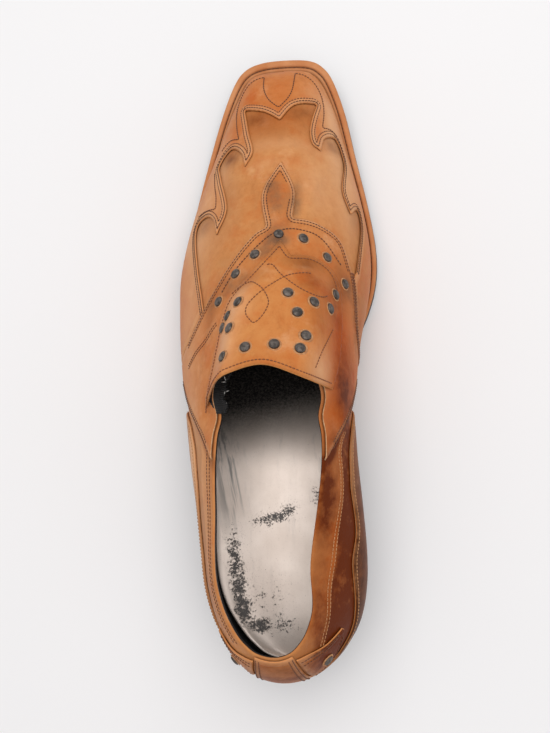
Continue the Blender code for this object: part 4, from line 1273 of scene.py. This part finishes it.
# %% Welt
Strip = namedtuple("Strip", "share rise")
WELT_PROFILE = (
    Strip(0.00, 0.10), Strip(0.00, 1.60), Strip(0.06, 2.35), Strip(0.16, 2.75), Strip(0.30, 2.95),
    Strip(0.42, 2.92), Strip(0.48, 2.60), Strip(0.53, 2.15), Strip(0.58, 2.55), Strip(0.66, 2.80),
    Strip(0.80, 2.70), Strip(0.92, 2.00), Strip(1.00, 0.90), Strip(1.00, 0.10),
)
WELT_PLACES, WELT_OUT, WELT_LEAST, WELT_GAP, WELT_OVER = 420, 0.3, 0.8, 0.1, 1.5
WALL_UP, WALL_SAMPLES = 0.12, 13
CHANNEL, CHANNEL_WIDTH, CHANNEL_RISE = 0.53, 0.05, 2.3
# INNER_SHADE is painted shade in the groove where the welt meets the upper.
INNER_SHADE, INNER_FROM, INNER_RUN = 0.8, 0.6, 0.35


def welt_look():
    """Pinkish tan welt: cloudy, finely specked, darker in the stitch channel, with painted shade beside the
    upper.
    """
    look, shader, at = finish("welt leather")
    cloud, fine = noise(at, 60.0, 5.0), noise(at, 700.0, 4.0, 0.65)
    colour = cloud.rises(0.35, 0.7).mix((0.54, 0.200, 0.070), (0.64, 0.285, 0.120))
    colour = (number(at, "channel") * (0.6 + fine * 0.6)).held().mix(colour, (0.11, 0.034, 0.012))
    colour = (fine.rises(0.6, 0.85) * 0.4).mix(colour, (0.30, 0.12, 0.05))
    link(at, shader, Base_Color=colour, Roughness=(0.46 + fine * 0.14).held(), Normal=bump(at, fine, 0.25),
         Specular_IOR_Level=0.16)
    return look


def welt_width(s):
    """Width of the strip: from the sole's edge in to where the lowest part of the upper bulges out most."""
    foot, inwards = sole_edge(s, welt_margin(s))
    wall = rib_point(s[:, None], np.linspace(0, WALL_UP, WALL_SAMPLES)[None, :])
    reach = ((foot[:, None, :] - wall[..., :2]) * inwards[:, None, :]).sum(-1)
    low = wall[..., 2] < sole_z(foot[:, 1:]) + OUTSOLE + WELT + WELT_OVER
    return np.maximum(welt_margin(s) - np.where(low, reach, 0).max(axis=1) - WELT_GAP, WELT_LEAST)


def on_welt(s, width, share, rise):
    """Points along the welt at a share of its width and a rise over the outsole."""
    edge, _ = sole_edge(s, WELT_OUT + share * (width - WELT_OUT))
    return np.column_stack([edge, sole_z(edge[:, 1]) + OUTSOLE + rise])


lateral_end, medial_end = np.interp((WELT_LATERAL, WELT_MEDIAL), station(whole), whole)
welt_places = np.linspace(lateral_end, TURN - medial_end, WELT_PLACES)
width = welt_width(welt_places)
strip = np.stack([on_welt(welt_places, width, *row) for row in WELT_PROFILE], axis=1)
share = column(WELT_PROFILE, "share")
dark = np.exp(-((share - CHANNEL) / CHANNEL_WIDTH) ** 2)
# Painted shade on the inner part of the welt, beside the upper.
dark = dark + INNER_SHADE * ease((share - INNER_FROM) / INNER_RUN)
count, last = len(WELT_PROFILE), WELT_PLACES - 1
# The channel number carries the stitch channel's dark and the painted shade beside the upper.
welt = build("welt_strip", strip, loop_faces(WELT_PLACES, count), [welt_look()],
             {"channel": np.broadcast_to(dark, strip.shape[:2])},
             [range(count), range(count * last, count * last + count)])
face_out(welt)
dress(welt, "welt", "welt")

# %% [markdown]
# ## The sock
# The sock inside is a pearly silver sheet that has worn through to black round the heel and the waist.
# Where it is worn is again a short table of soft patches, and noise breaks each patch into flakes.

# %% Sock
WORN = (
    Patch(-20.0, -92.0, 28.0, 3.5, 8.0, 20.0, 0.5), Patch(-18.5, -104.0, 28.0, 3.5, 9.0, 20.0, 0.7),
    Patch(-16.5, -118.0, 28.0, 3.0, 8.0, 20.0, 0.9), Patch(-13.5, -127.5, 28.0, 3.6, 5.0, 20.0, 0.9),
    Patch(-7.0, -135.0, 30.0, 5.0, 3.5, 20.0, 0.8), Patch(-14.0, -108.0, 28.0, 9.0, 20.0, 20.0, 0.3),
    Patch(-5.5, -85.5, 28.0, 8.0, 4.0, 20.0, 0.7), Patch(3.5, -83.0, 26.0, 7.0, 3.6, 20.0, 0.75),
    Patch(8.5, -79.0, 28.0, 5.0, 3.6, 20.0, 0.7), Patch(22.0, -73.0, 28.0, 3.5, 6.0, 20.0, 0.8),
    Patch(1.0, -121.0, 28.0, 14.0, 14.0, 20.0, 0.46), Patch(5.0, -135.0, 31.0, 14.0, 5.0, 20.0, 0.5),
)
RUBBED = (
    Patch(-23.0, -62.0, 28.0, 4.0, 18.0, 20.0, 1.0), Patch(-17.5, -66.0, 28.0, 3.0, 17.0, 20.0, 0.8),
    Patch(-27.0, -50.0, 28.0, 4.0, 14.0, 20.0, 0.9), Patch(22.0, -52.0, 28.0, 3.0, 12.0, 20.0, 0.5),
    Patch(-20.0, -73.0, 28.0, 4.0, 10.0, 20.0, 0.7),
)
# SOCK_DARK and SOCK_BLACK bound the painted shade inside the toe, which is partly wear.
SOCK_DARK, SOCK_BLACK, SOCK_TILT = -52.0, -21.0, 0.2


def sock_look():
    """Pearly silver with a pink cast, streaked grey, flaked to black where worn, and darkened towards the
    toe by painted shade that is partly wear.
    """
    look, shader, at = finish("silver sock")
    worn = number(at, "worn")
    cloud, clump, flake = noise(at, 45.0, 4.0), noise(at, 320.0, 4.0, 0.6), noise(at, 950.0, 7.0, 0.8)
    streak = noise(at, 260.0, 4.0, 0.6, (1.0, 0.12, 1.0))
    rubbed = noise(at, 340.0, 3.0, 0.6, (1.0, 0.06, 1.0), 0.2).rises(0.48, 0.64) * number(at, "rubbed")
    silver = cloud.rises(0.3, 0.7).mix((0.76, 0.635, 0.55), (0.90, 0.77, 0.68))
    silver = (streak.rises(0.55, 0.8) * 0.3).mix(silver, (0.42, 0.37, 0.34))
    speckle = noise(at, 1500.0, 4.0, 0.7).rises(0.61, 0.71) * (0.35 + worn)
    hole = ((flake + clump * 0.45 + worn * 0.33).rises(0.96, 1.025) + speckle * 0.7).held()
    colour = (rubbed * 0.7).held().mix(silver, (0.20, 0.185, 0.175))
    colour = (hole * 0.9).mix(colour, (0.050, 0.048, 0.050))
    # Painted shade inside the toe under the vamp, partly wear, broken up by the flakes.
    colour = (number(at, "front") * (0.4 + flake * 1.1)).held().mix(colour, (0.022, 0.020, 0.019))
    link(at, shader, Base_Color=colour, Roughness=(0.42 + hole * 0.3 + streak * 0.1).held(),
         Metallic=((1 - hole) * 0.5).held(), Normal=bump(at, 1 - hole + streak * 0.3, 0.15, 0.6))
    return look


SOCK_STEP, SOCK_IN, SOCK_GAP, SOCK_HEEL, SOCK_HEEL_RUN = 1.6, 0.5, 1.6, -118.0, 30.0
RIM, RIM_AT_HEEL, RIM_REAR, RIM_RUN, DISH = 1.4, 3.0, -80.0, 40.0, 0.4
TOP_OVER, LEAST_REACH = 1.5, 0.1
SOCK_EDGE = (Bevel(0.0, FIT), Bevel(0.0, 2.4), Bevel(0.25, 2.85), Bevel(0.8, 3.0))


def in_upper(s):
    """Inset of the sock: just inside the wall of the upper, a little shorter at the heel."""
    return welt_margin(s) + WALL + SOCK_IN + SOCK_GAP * ease((SOCK_HEEL - station(s)) / SOCK_HEEL_RUN)


def dished(grid, rows):
    """Sock pressed down in its middle by the foot: its rim stands higher by the fourth power."""
    lateral, medial = grid[:, rows - 1, 0:1], grid[:, 2 - rows - ACROSS, 0:1]
    centre, reach = (lateral + medial) / 2, np.maximum((medial - lateral) / 2, LEAST_REACH)
    u = np.clip((grid[..., 0] - centre) / reach, -1, 1)
    on_top = grid[..., 2] > sole_z(grid[..., 1]) + OUTSOLE + TOP_OVER
    grid = grid.copy()
    rim = RIM + RIM_AT_HEEL * ease((RIM_REAR - grid[..., 1]) / RIM_RUN)
    grid[..., 2] += np.where(on_top, rim * u ** 4 - DISH, 0.0)
    return grid


def worn_numbers(p):
    """How worn each vertex of the sock is, how streaked, and how much painted shade, partly wear, it takes
    towards the toe.
    """
    front = ease((p[:, 1] - SOCK_TILT * p[:, 0] - SOCK_DARK) / (SOCK_BLACK - SOCK_DARK))
    return {"worn": np.minimum(patches(p, WORN), 1.0), "rubbed": patches(p, RUBBED), "front": front}


profile = [((lambda s, more=row.inset: in_upper(s) + more), over_sole(OUTSOLE + row.rise))
           for row in SOCK_EDGE]
add_plate("sock", places(SOCK_STEP), profile, sock_look(), "insole", "insole", True, worn_numbers, dished)

# %% [markdown]
# ## Thread
# Stitching draws the pattern of this shoe: rows along the raw edges, single lines on the toe and loops
# on the saddle. Each stitch is a small rounded bar that dips into the leather at both ends. The
# lines are short tables of marks, dropped on the surface that they are sewn through.


# %% Surfaces to sew on
Layer = namedtuple("Layer", "points normals")
SEW_STEP, SEW_REAR, SEW_ROWS, LEAST_SHOWN, PATH_STEP = 1.3, -95.0, 84, 0.12, 0.4


def sampled(surface, s, rows, lift):
    """Fine cloud of points on a surface, with the direction that leads out of it."""
    p = surface(s[:, None], rows, lift)
    return Layer(p.reshape(-1, 3), grid_normals(p).reshape(-1, 3))


def settle(marks, axes, layer, chunk=60):
    """Marks dropped on a layer along the third axis: nearest sample, then along its tangent plane."""
    free = 3 - sum(axes)
    shown = np.abs(layer.normals[:, free]) > LEAST_SHOWN
    p, n = layer.points[shown], layer.normals[shown]
    found = [np.argmin(((q[:, None] - p[:, axes]) ** 2).sum(-1), axis=1)
             for q in np.array_split(marks, max(len(marks) // chunk, 1))]
    k = np.concatenate(found)
    placed, normal = p[k].copy(), n[k]
    off = marks - placed[:, axes]
    placed[:, axes] = marks
    placed[:, free] -= (off * normal[:, axes]).sum(-1) / normal[:, free]
    return placed, normal


def even(points, step):
    """Points spaced evenly along a broken line."""
    run = lengths(points)
    at = np.linspace(0, run[-1], max(int(run[-1] / step), 1) + 1)
    return np.stack([np.interp(at, run, points[:, i]) for i in range(points.shape[1])], -1)


def one_side(layer, medial):
    """The medial or the lateral part of a layer."""
    mine = (layer.points[:, 0] > MIDDLE_X) == medial
    return Layer(layer.points[mine], layer.normals[mine])


sew_half = places(SEW_STEP)
s = front_ring(sew_half, SEW_REAR)
sewn_overlay = sampled(over_seat, s, rows_over_welt(s), LEATHER)
s = front_ring(sew_half, SADDLE_REAR)
sewn_saddle = sampled(flap_point, s, flap_rows(s, SEW_ROWS), LEATHER)
print("samples to sew on:", len(sewn_overlay.points), len(sewn_saddle.points))


# %% [markdown]
# A stitch is one tube of five rings. All stitches of a piece are laid out at once as arrays, so a thousand
# of them cost one mesh. A row beside an edge is the edge moved sideways within the surface, and it breaks
# off where it would come too near to the edge again.

# %% Rows of stitches
CROSSING, LEAST_RUN = 0.12, 6
STITCH, THREAD, SUNK = 1.6, 0.23, 0.05
BAR, SIDES = np.linspace(-1, 1, 5), 6
BAR_REACH, BAR_THIN, BAR_HIGH, BAR_DIP = 0.46, 0.72, 0.75, 1.1


def line_on(marks, layer):
    """A traced line dropped on a layer from above."""
    return settle(even(traced(marks), PATH_STEP), PLAN, layer)


def rows_beside(outline, layer, distances, left, axes=PLAN):
    """Paths beside an outline, moved square to it within the surface and cut where they would cross."""
    p, n = settle(even(outline, PATH_STEP), axes, layer)
    along = unit(np.gradient(p, axis=0))
    paths = []
    for distance in distances:
        q, m = settle((p + np.cross(n, along) * (distance if left else -distance))[:, axes], axes, layer)
        far, _ = to_segments(q, p[:-1], p[1:])
        good = np.flatnonzero(far > distance - CROSSING)
        for run in np.split(good, np.flatnonzero(np.diff(good) > 1) + 1):
            if len(run) > LEAST_RUN:
                paths.append((q[run], m[run]))
    return paths


def stitches(name, paths, look, length=STITCH, gauge=THREAD, sink=SUNK):
    """One bar per stitch: a six-sided tube along the path, thin and sunk at both ends."""
    centre, along, normal = [], [], []
    for p, n in paths:
        both = even(np.concatenate([p, n], 1), length)
        middle = (both[1:] + both[:-1]) / 2
        centre.append(middle[:, :3])
        along.append((both[1:, :3] - both[:-1, :3]))
        normal.append(middle[:, 3:])
    centre, along, normal = (np.concatenate(x) for x in (centre, along, normal))
    reach = np.linalg.norm(along, axis=1, keepdims=True)
    along /= np.maximum(reach, TINY)
    aside = unit(np.cross(normal, along))
    turn = np.arange(SIDES) * 2 * np.pi / SIDES
    bar = BAR[:, None, None]
    thick = gauge * np.sqrt(np.maximum(1 - BAR_THIN * bar ** 2, 0))
    high = gauge * (BAR_HIGH - BAR_DIP * bar ** 2) - sink
    centre, along, aside, normal, reach = (x[:, None, None] for x in (centre, along, aside, normal, reach))
    circle = aside * np.cos(turn)[:, None] + normal * np.sin(turn)[:, None]
    points = centre + along * (BAR_REACH * reach * bar) + normal * high + circle * thick
    size = len(BAR) * SIDES
    first = np.arange(len(centre))[:, None] * size
    caps = np.concatenate([first + np.arange(SIDES)[::-1], first + size - SIDES + np.arange(SIDES)])
    made = build(name, points, loop_faces(len(BAR), SIDES, len(centre)), [look], caps=caps.tolist())
    dress(made, "overlay")


def thread(name, dark, light):
    """Waxed thread: twisted tone along its length with a soft sheen."""
    look, shader, at = finish(name)
    twist, cloud = noise(at, 1600.0, 2.0), noise(at, 90.0, 3.0)
    tone = (twist * 0.6 + cloud * 0.5).rises(0.3, 0.8)
    link(at, shader, Base_Color=tone.mix(dark, light), Roughness=0.55)
    return look


brown_thread = thread("brown thread", (0.060, 0.017, 0.006), (0.16, 0.050, 0.015))
russet_thread = thread("russet thread", (0.13, 0.036, 0.010), (0.28, 0.090, 0.026))
tan_thread = thread("tan thread", (0.36, 0.145, 0.046), (0.56, 0.28, 0.115))

# %% [markdown]
# The lines of the pattern are marks on the shoe seen from above, placed where the photograph shows the
# thread. A curve passes smoothly through a plain mark and turns sharply at a corner.

# %% Lines of the pattern
TOE_LATERAL = (
    Mark(-4.2, 140.3, True), Mark(-8.3, 139.6), Mark(-13.4, 135.9), Mark(-16.7, 129.1),
    Mark(-17.9, 120.1), Mark(-16.8, 109.2), Mark(-15.1, 102.0, True), Mark(-19.2, 103.6),
    Mark(-22.4, 102.9), Mark(-25.7, 100.4, True),
)
MEDALLION = (
    Mark(-4.2, 140.3, True), Mark(-3.6, 131.1), Mark(-0.7, 123.6), Mark(4.7, 117.8, True),
    Mark(9.3, 124.3), Mark(11.2, 131.0), Mark(11.8, 142.3, True),
)
TOE_MEDIAL = (
    Mark(11.8, 142.3, True), Mark(16.2, 140.8), Mark(21.2, 136.6), Mark(24.4, 130.7), Mark(26.0, 124.4),
    Mark(26.6, 117.4), Mark(26.0, 108.6, True), Mark(30.1, 109.4), Mark(32.7, 107.5, True),
)
WING_LEAF = (
    Mark(-28.7, 88.0, True), Mark(-27.6, 79.3), Mark(-26.2, 72.5), Mark(-25.8, 65.5, True),
    Mark(-29.8, 66.3), Mark(-33.4, 66.6), Mark(-37.1, 65.9, True),
)
INNER_ARC = (
    Mark(-18.6, 18.8, True), Mark(-13.2, 27.5), Mark(-7.4, 34.1), Mark(-2.2, 39.2), Mark(3.3, 44.1),
    Mark(8.1, 46.9), Mark(13.3, 48.2), Mark(18.9, 47.8), Mark(23.9, 46.7), Mark(28.3, 43.4),
    Mark(32.3, 37.9), Mark(35.3, 33.5, True),
)
SHORT_LOOP = (
    Mark(3.5, 28.7, True), Mark(6.0, 28.7), Mark(8.9, 24.9), Mark(11.0, 22.7), Mark(15.5, 18.8),
    Mark(20.3, 15.5), Mark(24.6, 13.6), Mark(28.2, 13.4), Mark(30.0, 14.8, True),
)
LONG_LOOP = (
    Mark(23.0, 24.8, True), Mark(18.0, 24.4), Mark(12.7, 22.8), Mark(7.9, 19.5), Mark(3.0, 15.8),
    Mark(-1.2, 11.9), Mark(-3.9, 8.2), Mark(-4.0, 4.4), Mark(-1.7, 1.3), Mark(0.0, 0.0), Mark(3.3, 3.2),
    Mark(5.5, 7.9), Mark(5.4, 11.1), Mark(3.0, 15.8), Mark(-0.2, 18.8), Mark(-3.7, 20.6),
    Mark(-8.8, 19.0), Mark(-12.6, 16.4, True),
)
FLAP_SEAM = (
    Mark(32.3, -0.1, True), Mark(30.4, -5.4), Mark(28.2, -11.4), Mark(25.6, -19.4, True),
)
FLANK_SEAM = (
    Mark(-19.8, 3.6, True), Mark(-22.4, 0.9), Mark(-26.0, -3.6), Mark(-31.7, -7.9),
    Mark(-37.3, -13.7, True),
)
FLANK_ROWS, TAIL_ROWS, TAIL_STITCH = (0.01, 1.5), (0.7, 2.1, 3.5), 1.5
TAIL_THREAD, LINE_THREAD, SADDLE_THREAD = 0.36, 0.3, 0.28
SADDLE_FRONT_ROW, SADDLE_BACK_ROW, FRONT_ROW_END, TAIL_ROW_END = (2.2,), (2.4,), 96, -6

# %% Stitches of the pattern
lines = (rows_beside(wing_line, sewn_overlay, STITCH_ROWS, True)
         + rows_beside(apron_line[STEPS:APRON_FRONT], sewn_overlay, STITCH_ROWS, False)
         + rows_beside(traced(FLANK_SEAM), sewn_overlay, FLANK_ROWS, False))
stitches("edge_stitches", lines, brown_thread)
lines = rows_beside(tail_line[:TAIL_ROW_END], one_side(sewn_overlay, True), TAIL_ROWS, False, SIDE)
stitches("tail_stitches", lines, russet_thread, TAIL_STITCH, TAIL_THREAD)
lines = [line_on(marks, sewn_overlay)
         for marks in (TOE_LATERAL, MEDALLION, TOE_MEDIAL, WING_LEAF, INNER_ARC)]
stitches("pattern_stitches", lines, brown_thread, STITCH, LINE_THREAD)
lines = (rows_beside(saddle_line[:FRONT_ROW_END], sewn_saddle, SADDLE_FRONT_ROW, False)
         + rows_beside(saddle_line[SADDLE_CORNER * STEPS:], sewn_saddle, SADDLE_BACK_ROW, False)
         + [line_on(marks, sewn_saddle) for marks in (SHORT_LOOP, LONG_LOOP, FLAP_SEAM)])
stitches("saddle_stitches", lines, russet_thread, STITCH, SADDLE_THREAD)

# %% [markdown]
# ## Rows on the quarters
# The lateral quarter carries two rows of stitches below the collar and the medial one a double seam.
# Both have double rows along the leaf edge and one along the counter. All of them are drawn in side view
# and dropped sideways on the wall.

# %% Quarter rows
COLLAR_ROWS, SEAM_ROWS, COUNTER_ROW = (3.6, 6.4), (0.0, 1.8), 1.3
LEAF_ROWS, LEAF_FRONT = (1.0, 2.6), np.array([0.7, 0.7])
LEAF_LOW, LEAF_TOP, LEAF_PITCH = 36.0, 2.5, 2.0
QUARTER_FRONT, QUARTER_FOOT, QUARTER_ROWS = -10.0, 0.05, 70
WRAP_FOOT, WRAP_ROWS, SIDE_STEP = 0.03, 50, 0.5
collar_y = np.linspace(-134.0, -52.0, 120)
seam_y = np.linspace(-136.0, -44.0, 140)
counter_y = np.linspace(-139.0, -40.0, 120)


def side_line(y, z, layer, medial):
    """Side-view line dropped on one side of a layer."""
    return settle(even(np.column_stack([y, z]), SIDE_STEP), SIDE, one_side(layer, medial))


def wall_layer(front, foot, top, count, lift):
    """Samples of the wall behind a station, from a share up each rib to a line in side view."""
    s = rear_ring(sew_half, front)
    return sampled(lifted, s, crowded(np.full_like(s, foot), rib_where(s, top), count, 1.0), lift)


quarter = wall_layer(QUARTER_FRONT, QUARTER_FOOT, collar_z, QUARTER_ROWS, 0.0)
wrapped = wall_layer(COUNTER[-1].y, WRAP_FOOT, counter_z, WRAP_ROWS, BAND)
rows, pale_rows = [], []
for medial in (False, True):
    if medial:
        pale_rows += [side_line(seam_y, seam_z(seam_y) + up, quarter, True) for up in SEAM_ROWS]
    else:
        rows += [side_line(collar_y, collar_z(collar_y) - drop, quarter, False) for drop in COLLAR_ROWS]
    pale_rows.append(side_line(counter_y, counter_z(counter_y) - COUNTER_ROW, wrapped, medial))
    for gap in LEAF_ROWS:
        row = even(leaf_line, LEAF_PITCH) + gap * LEAF_FRONT
        row = row[(row[:, 1] > LEAF_LOW) & (row[:, 1] < collar_z(row[:, 0]) - LEAF_TOP)]
        rows.append(side_line(row[:, 0], row[:, 1], sewn_overlay, medial))
stitches("quarter_stitches", rows, brown_thread)
stitches("seam_stitches", pale_rows, tan_thread)

# %% [markdown]
# One coarser row lies in the welt's channel. It runs at the same share of the strip's width all the way.

# %% Welt stitches
WELT_STITCH, WELT_THREAD, WELT_SAMPLES = 2.3, 0.24, 900
UP = (0.0, 0.0, 1.0)
s = np.linspace(welt_places[0], welt_places[-1], WELT_SAMPLES)
run = on_welt(s, np.interp(s, welt_places, width), CHANNEL, CHANNEL_RISE)
path = (run, np.broadcast_to(UP, run.shape))
stitches("welt_stitches", [path], brown_thread, WELT_STITCH, WELT_THREAD, 0.0)

# %% [markdown]
# ## Studs
# Flat pewter domes decorate the saddle and the band round it, and two more sit at the heel. A dome is a
# turned profile; the leather round a stud is pressed up into a thin ring, which is a second turned
# profile. The stud in front of the saddle's tip has no ring, because the tip lies too near to it.

# %% Studs
Stud = namedtuple("Stud", "x y layers")
STUDS = (
    Stud(-20.0, 14.8, 1), Stud(-11.8, 27.0, 1), Stud(-2.8, 35.3, 1), Stud(7.8, 45.0, 1),
    Stud(18.7, 43.6, 1), Stud(29.2, 35.9, 1), Stud(37.0, 24.4, 1),
    Stud(13.7, 14.1, 2), Stud(24.8, 10.1, 2), Stud(33.2, 16.8, 2), Stud(31.2, 9.0, 2),
    Stud(18.0, 4.8, 2), Stud(21.9, -5.9, 2), Stud(19.7, -11.7, 2), Stud(9.1, -10.0, 2),
    Stud(-3.2, -10.9, 2), Stud(-13.1, -14.4, 2), Stud(-8.2, 10.8, 2),
    Stud(-13.2, 5.3, 2), Stud(-11.2, -1.4, 2), Stud(-15.6, 0.2, 2),
)
HEEL_STUD, HEEL_STUD_UP = 2.1, 0.37
Round = namedtuple("Round", "radius rise")
DOME = (
    Round(1.00, -0.30), Round(1.00, 0.35), Round(0.97, 0.60), Round(0.90, 0.80), Round(0.80, 0.86),
    Round(0.74, 0.96), Round(0.45, 1.10), Round(0.20, 1.15), Round(0.001, 1.16),
)
PUCKER = (
    Round(1.42, -0.25), Round(1.30, 0.08), Round(1.18, 0.20), Round(1.06, 0.10), Round(0.98, -0.20),
)
STUD_RADIUS, STUD_SIDES, TIP_STUD = 2.3, 24, 3


def pewter():
    """Dark worn metal: warm grey blotted with near black, finely roughened."""
    look, shader, at = finish("dark pewter")
    blot, fine = noise(at, 500.0, 4.0, 0.6), noise(at, 2500.0, 3.0)
    colour = blot.rises(0.35, 0.7).mix((0.052, 0.042, 0.036), (0.18, 0.150, 0.130))
    link(at, shader, Base_Color=colour, Metallic=0.6, Roughness=(0.42 + fine * 0.25).held(),
         Normal=bump(at, fine, 0.05))
    return look


def turned(name, base, normal, profile, look, slot, *nodes):
    """Profile turned round the normal at each base: radius and height in stud radii and millimetres."""
    turn = np.arange(STUD_SIDES) * 2 * np.pi / STUD_SIDES
    side = unit(np.cross(normal, (0.0, 1.0, 0.0)))
    other = np.cross(normal, side)
    circle = side[:, None] * np.cos(turn)[:, None] + other[:, None] * np.sin(turn)[:, None]
    radius = column(profile, "radius")[:, None, None] * STUD_RADIUS
    rise = column(profile, "rise")[:, None, None]
    points = base[:, None, None] + circle[:, None] * radius + normal[:, None, None] * rise
    faces = loop_faces(len(profile), STUD_SIDES, len(base))
    dress(build(name, points, faces[:, ::-1], [look]), slot, *nodes)


sewn = {1: sewn_overlay, 2: sewn_saddle}
seats = [settle(np.array([[row.x, row.y]]), PLAN, sewn[row.layers]) for row in STUDS]
seats.append(outwards(np.array([HEEL_STUD, TURN - HEEL_STUD]), HEEL_STUD_UP, SEAT + LEATHER))
base, normal = (np.concatenate(part) for part in zip(*seats))
turned("stud_domes", base, normal, DOME, pewter(), "stud", *["stud_%02d" % i for i in range(len(STUDS))],
       "heel_stud_0", "heel_stud_1")
ringed = np.arange(len(base)) != TIP_STUD
turned("stud_rings", base[ringed], normal[ringed], PUCKER, pressed_edge, "overlay")

# %% [markdown]
# ## Rows on the heel pieces
# The back strap has a double row along each side; a scroll has one row below and two above. Both grids
# already know their sides, so a row is a line at a fixed share of the way across.

# %% Heel rows
SCROLL_SHARES, STRAP_SHARES = (0.10, 0.82, 0.93), (-0.9, -0.72, 0.72, 0.9)
SCROLL_IN, SCROLL_SHORT, STRAP_LOW, STRAP_TOP = 0.12, 0.25, 2.0, 1.5
SCROLL_POINTS, STRAP_POINTS = 60, 40
heel_rows = []
span = np.linspace(SCROLL[0].span + SCROLL_IN, SCROLL[-1].span - SCROLL_SHORT, SCROLL_POINTS)
for turn in (0.0, TURN):
    at = np.abs(turn - span)
    low, high = (scroll_edge(at, span, name) for name in ("low", "high"))
    heel_rows += [outwards(at, low + (high - low) * up, BAND) for up in SCROLL_SHARES]
for place in STRAP_SHARES:
    at = np.full(STRAP_POINTS, TURN + place)
    low = rib_where(at[:1], lambda y: counter_z(y) + STRAP_LOW)[0]
    high = rib_where(at[:1], lambda y: collar_z(y) - STRAP_TOP)[0]
    heel_rows.append(outwards(at, np.linspace(low, high, STRAP_POINTS), BAND))
stitches("heel_stitches", heel_rows, brown_thread)

# %% [markdown]
# ## Torn elastic
# Under the saddle's lateral rear corner a black elastic joins the throat to the quarter. It has torn
# with wear, so its upper edge is ragged and loose ends stick out. The tear is drawn with a seeded
# generator, which gives the same rags on every run.

# %% Elastic
GORE_REAR, GORE_FRONT, GORE_UP, GORE_DOWN = -37.0, -18.0, 0.06, 0.045
GORE_PLACES, GORE_ROWS, GORE_WALL, GORE_TOP = 70, 17, 0.8, 0.995
GORE_OVER, GORE_TUCK, GORE_FOLD, GORE_FOLD_RUN = 0.5, 2.4, -0.1, 0.5
TORN, TORN_TEETH, TORN_RAGS, TEETH = 0.45, 0.4, 0.35, 9.0
FRAY, FRAY_RAGS, FRAY_RUN = 0.85, 0.3, 0.45
LOOSE_ENDS, LOOSE_IN, LOOSE_REACH, LOOSE_STITCH, LOOSE_THREAD = 5, 8, 1.1, 6.0, 0.16
RAG_SEED = 11
RAGS = np.random.default_rng(RAG_SEED)


def elastic_look():
    """Black ribbed elastic: fine cords side by side, a little dusty."""
    look, shader, at = finish("black elastic")
    cords = at.add("ShaderNodeTexWave", {"bands_direction": "Y"},
                   {"Vector": at, "Scale": 380.0, "Distortion": 1.0})
    dust = noise(at, 300.0, 4.0).rises(0.55, 0.8) * 0.5
    link(at, shader, Base_Color=dust.mix((0.012, 0.011, 0.011), (0.07, 0.065, 0.06)), Roughness=0.8,
         Normal=bump(at, cords, 0.3))
    return look


loose_thread = thread("loose thread", (0.35, 0.33, 0.31), (0.75, 0.72, 0.68))
s = np.linspace(*np.interp((GORE_REAR, GORE_FRONT), station(heel_half), heel_half), GORE_PLACES)
teeth = np.sin(np.linspace(0, TEETH, GORE_PLACES)) ** 2
torn = GORE_UP * (TORN + TORN_TEETH * teeth + TORN_RAGS * RAGS.random(GORE_PLACES))
hidden = GORE_DOWN * ease(np.linspace(0, 1, GORE_PLACES) / FRAY_RUN)
hidden = hidden * (FRAY + FRAY_RAGS * RAGS.random(GORE_PLACES))
share = np.linspace(-1, 1, GORE_ROWS)[None, :]
t = rib_where(s, collar_z)[:, None] + np.where(share < 0, hidden[:, None], torn[:, None]) * share
lift = LEATHER + GORE_OVER - GORE_TUCK * ease((share - GORE_FOLD) / GORE_FOLD_RUN)
points = lifted(s[:, None], np.minimum(t, GORE_TOP), lift)
gore = build("gore", points, grid_faces(GORE_PLACES, GORE_ROWS), [elastic_look()])
thicken(gore, GORE_WALL)
dress(gore, "upper")
tips = points[RAGS.integers(LOOSE_IN, GORE_PLACES - LOOSE_IN, LOOSE_ENDS), -1]
tags = tips + RAGS.normal(0, LOOSE_REACH, (LOOSE_ENDS, 3))
loose = [(np.stack(pair), np.tile(UP, (2, 1))) for pair in zip(tips, tags)]
stitches("loose_ends", loose, loose_thread, LOOSE_STITCH, LOOSE_THREAD, 0.0)
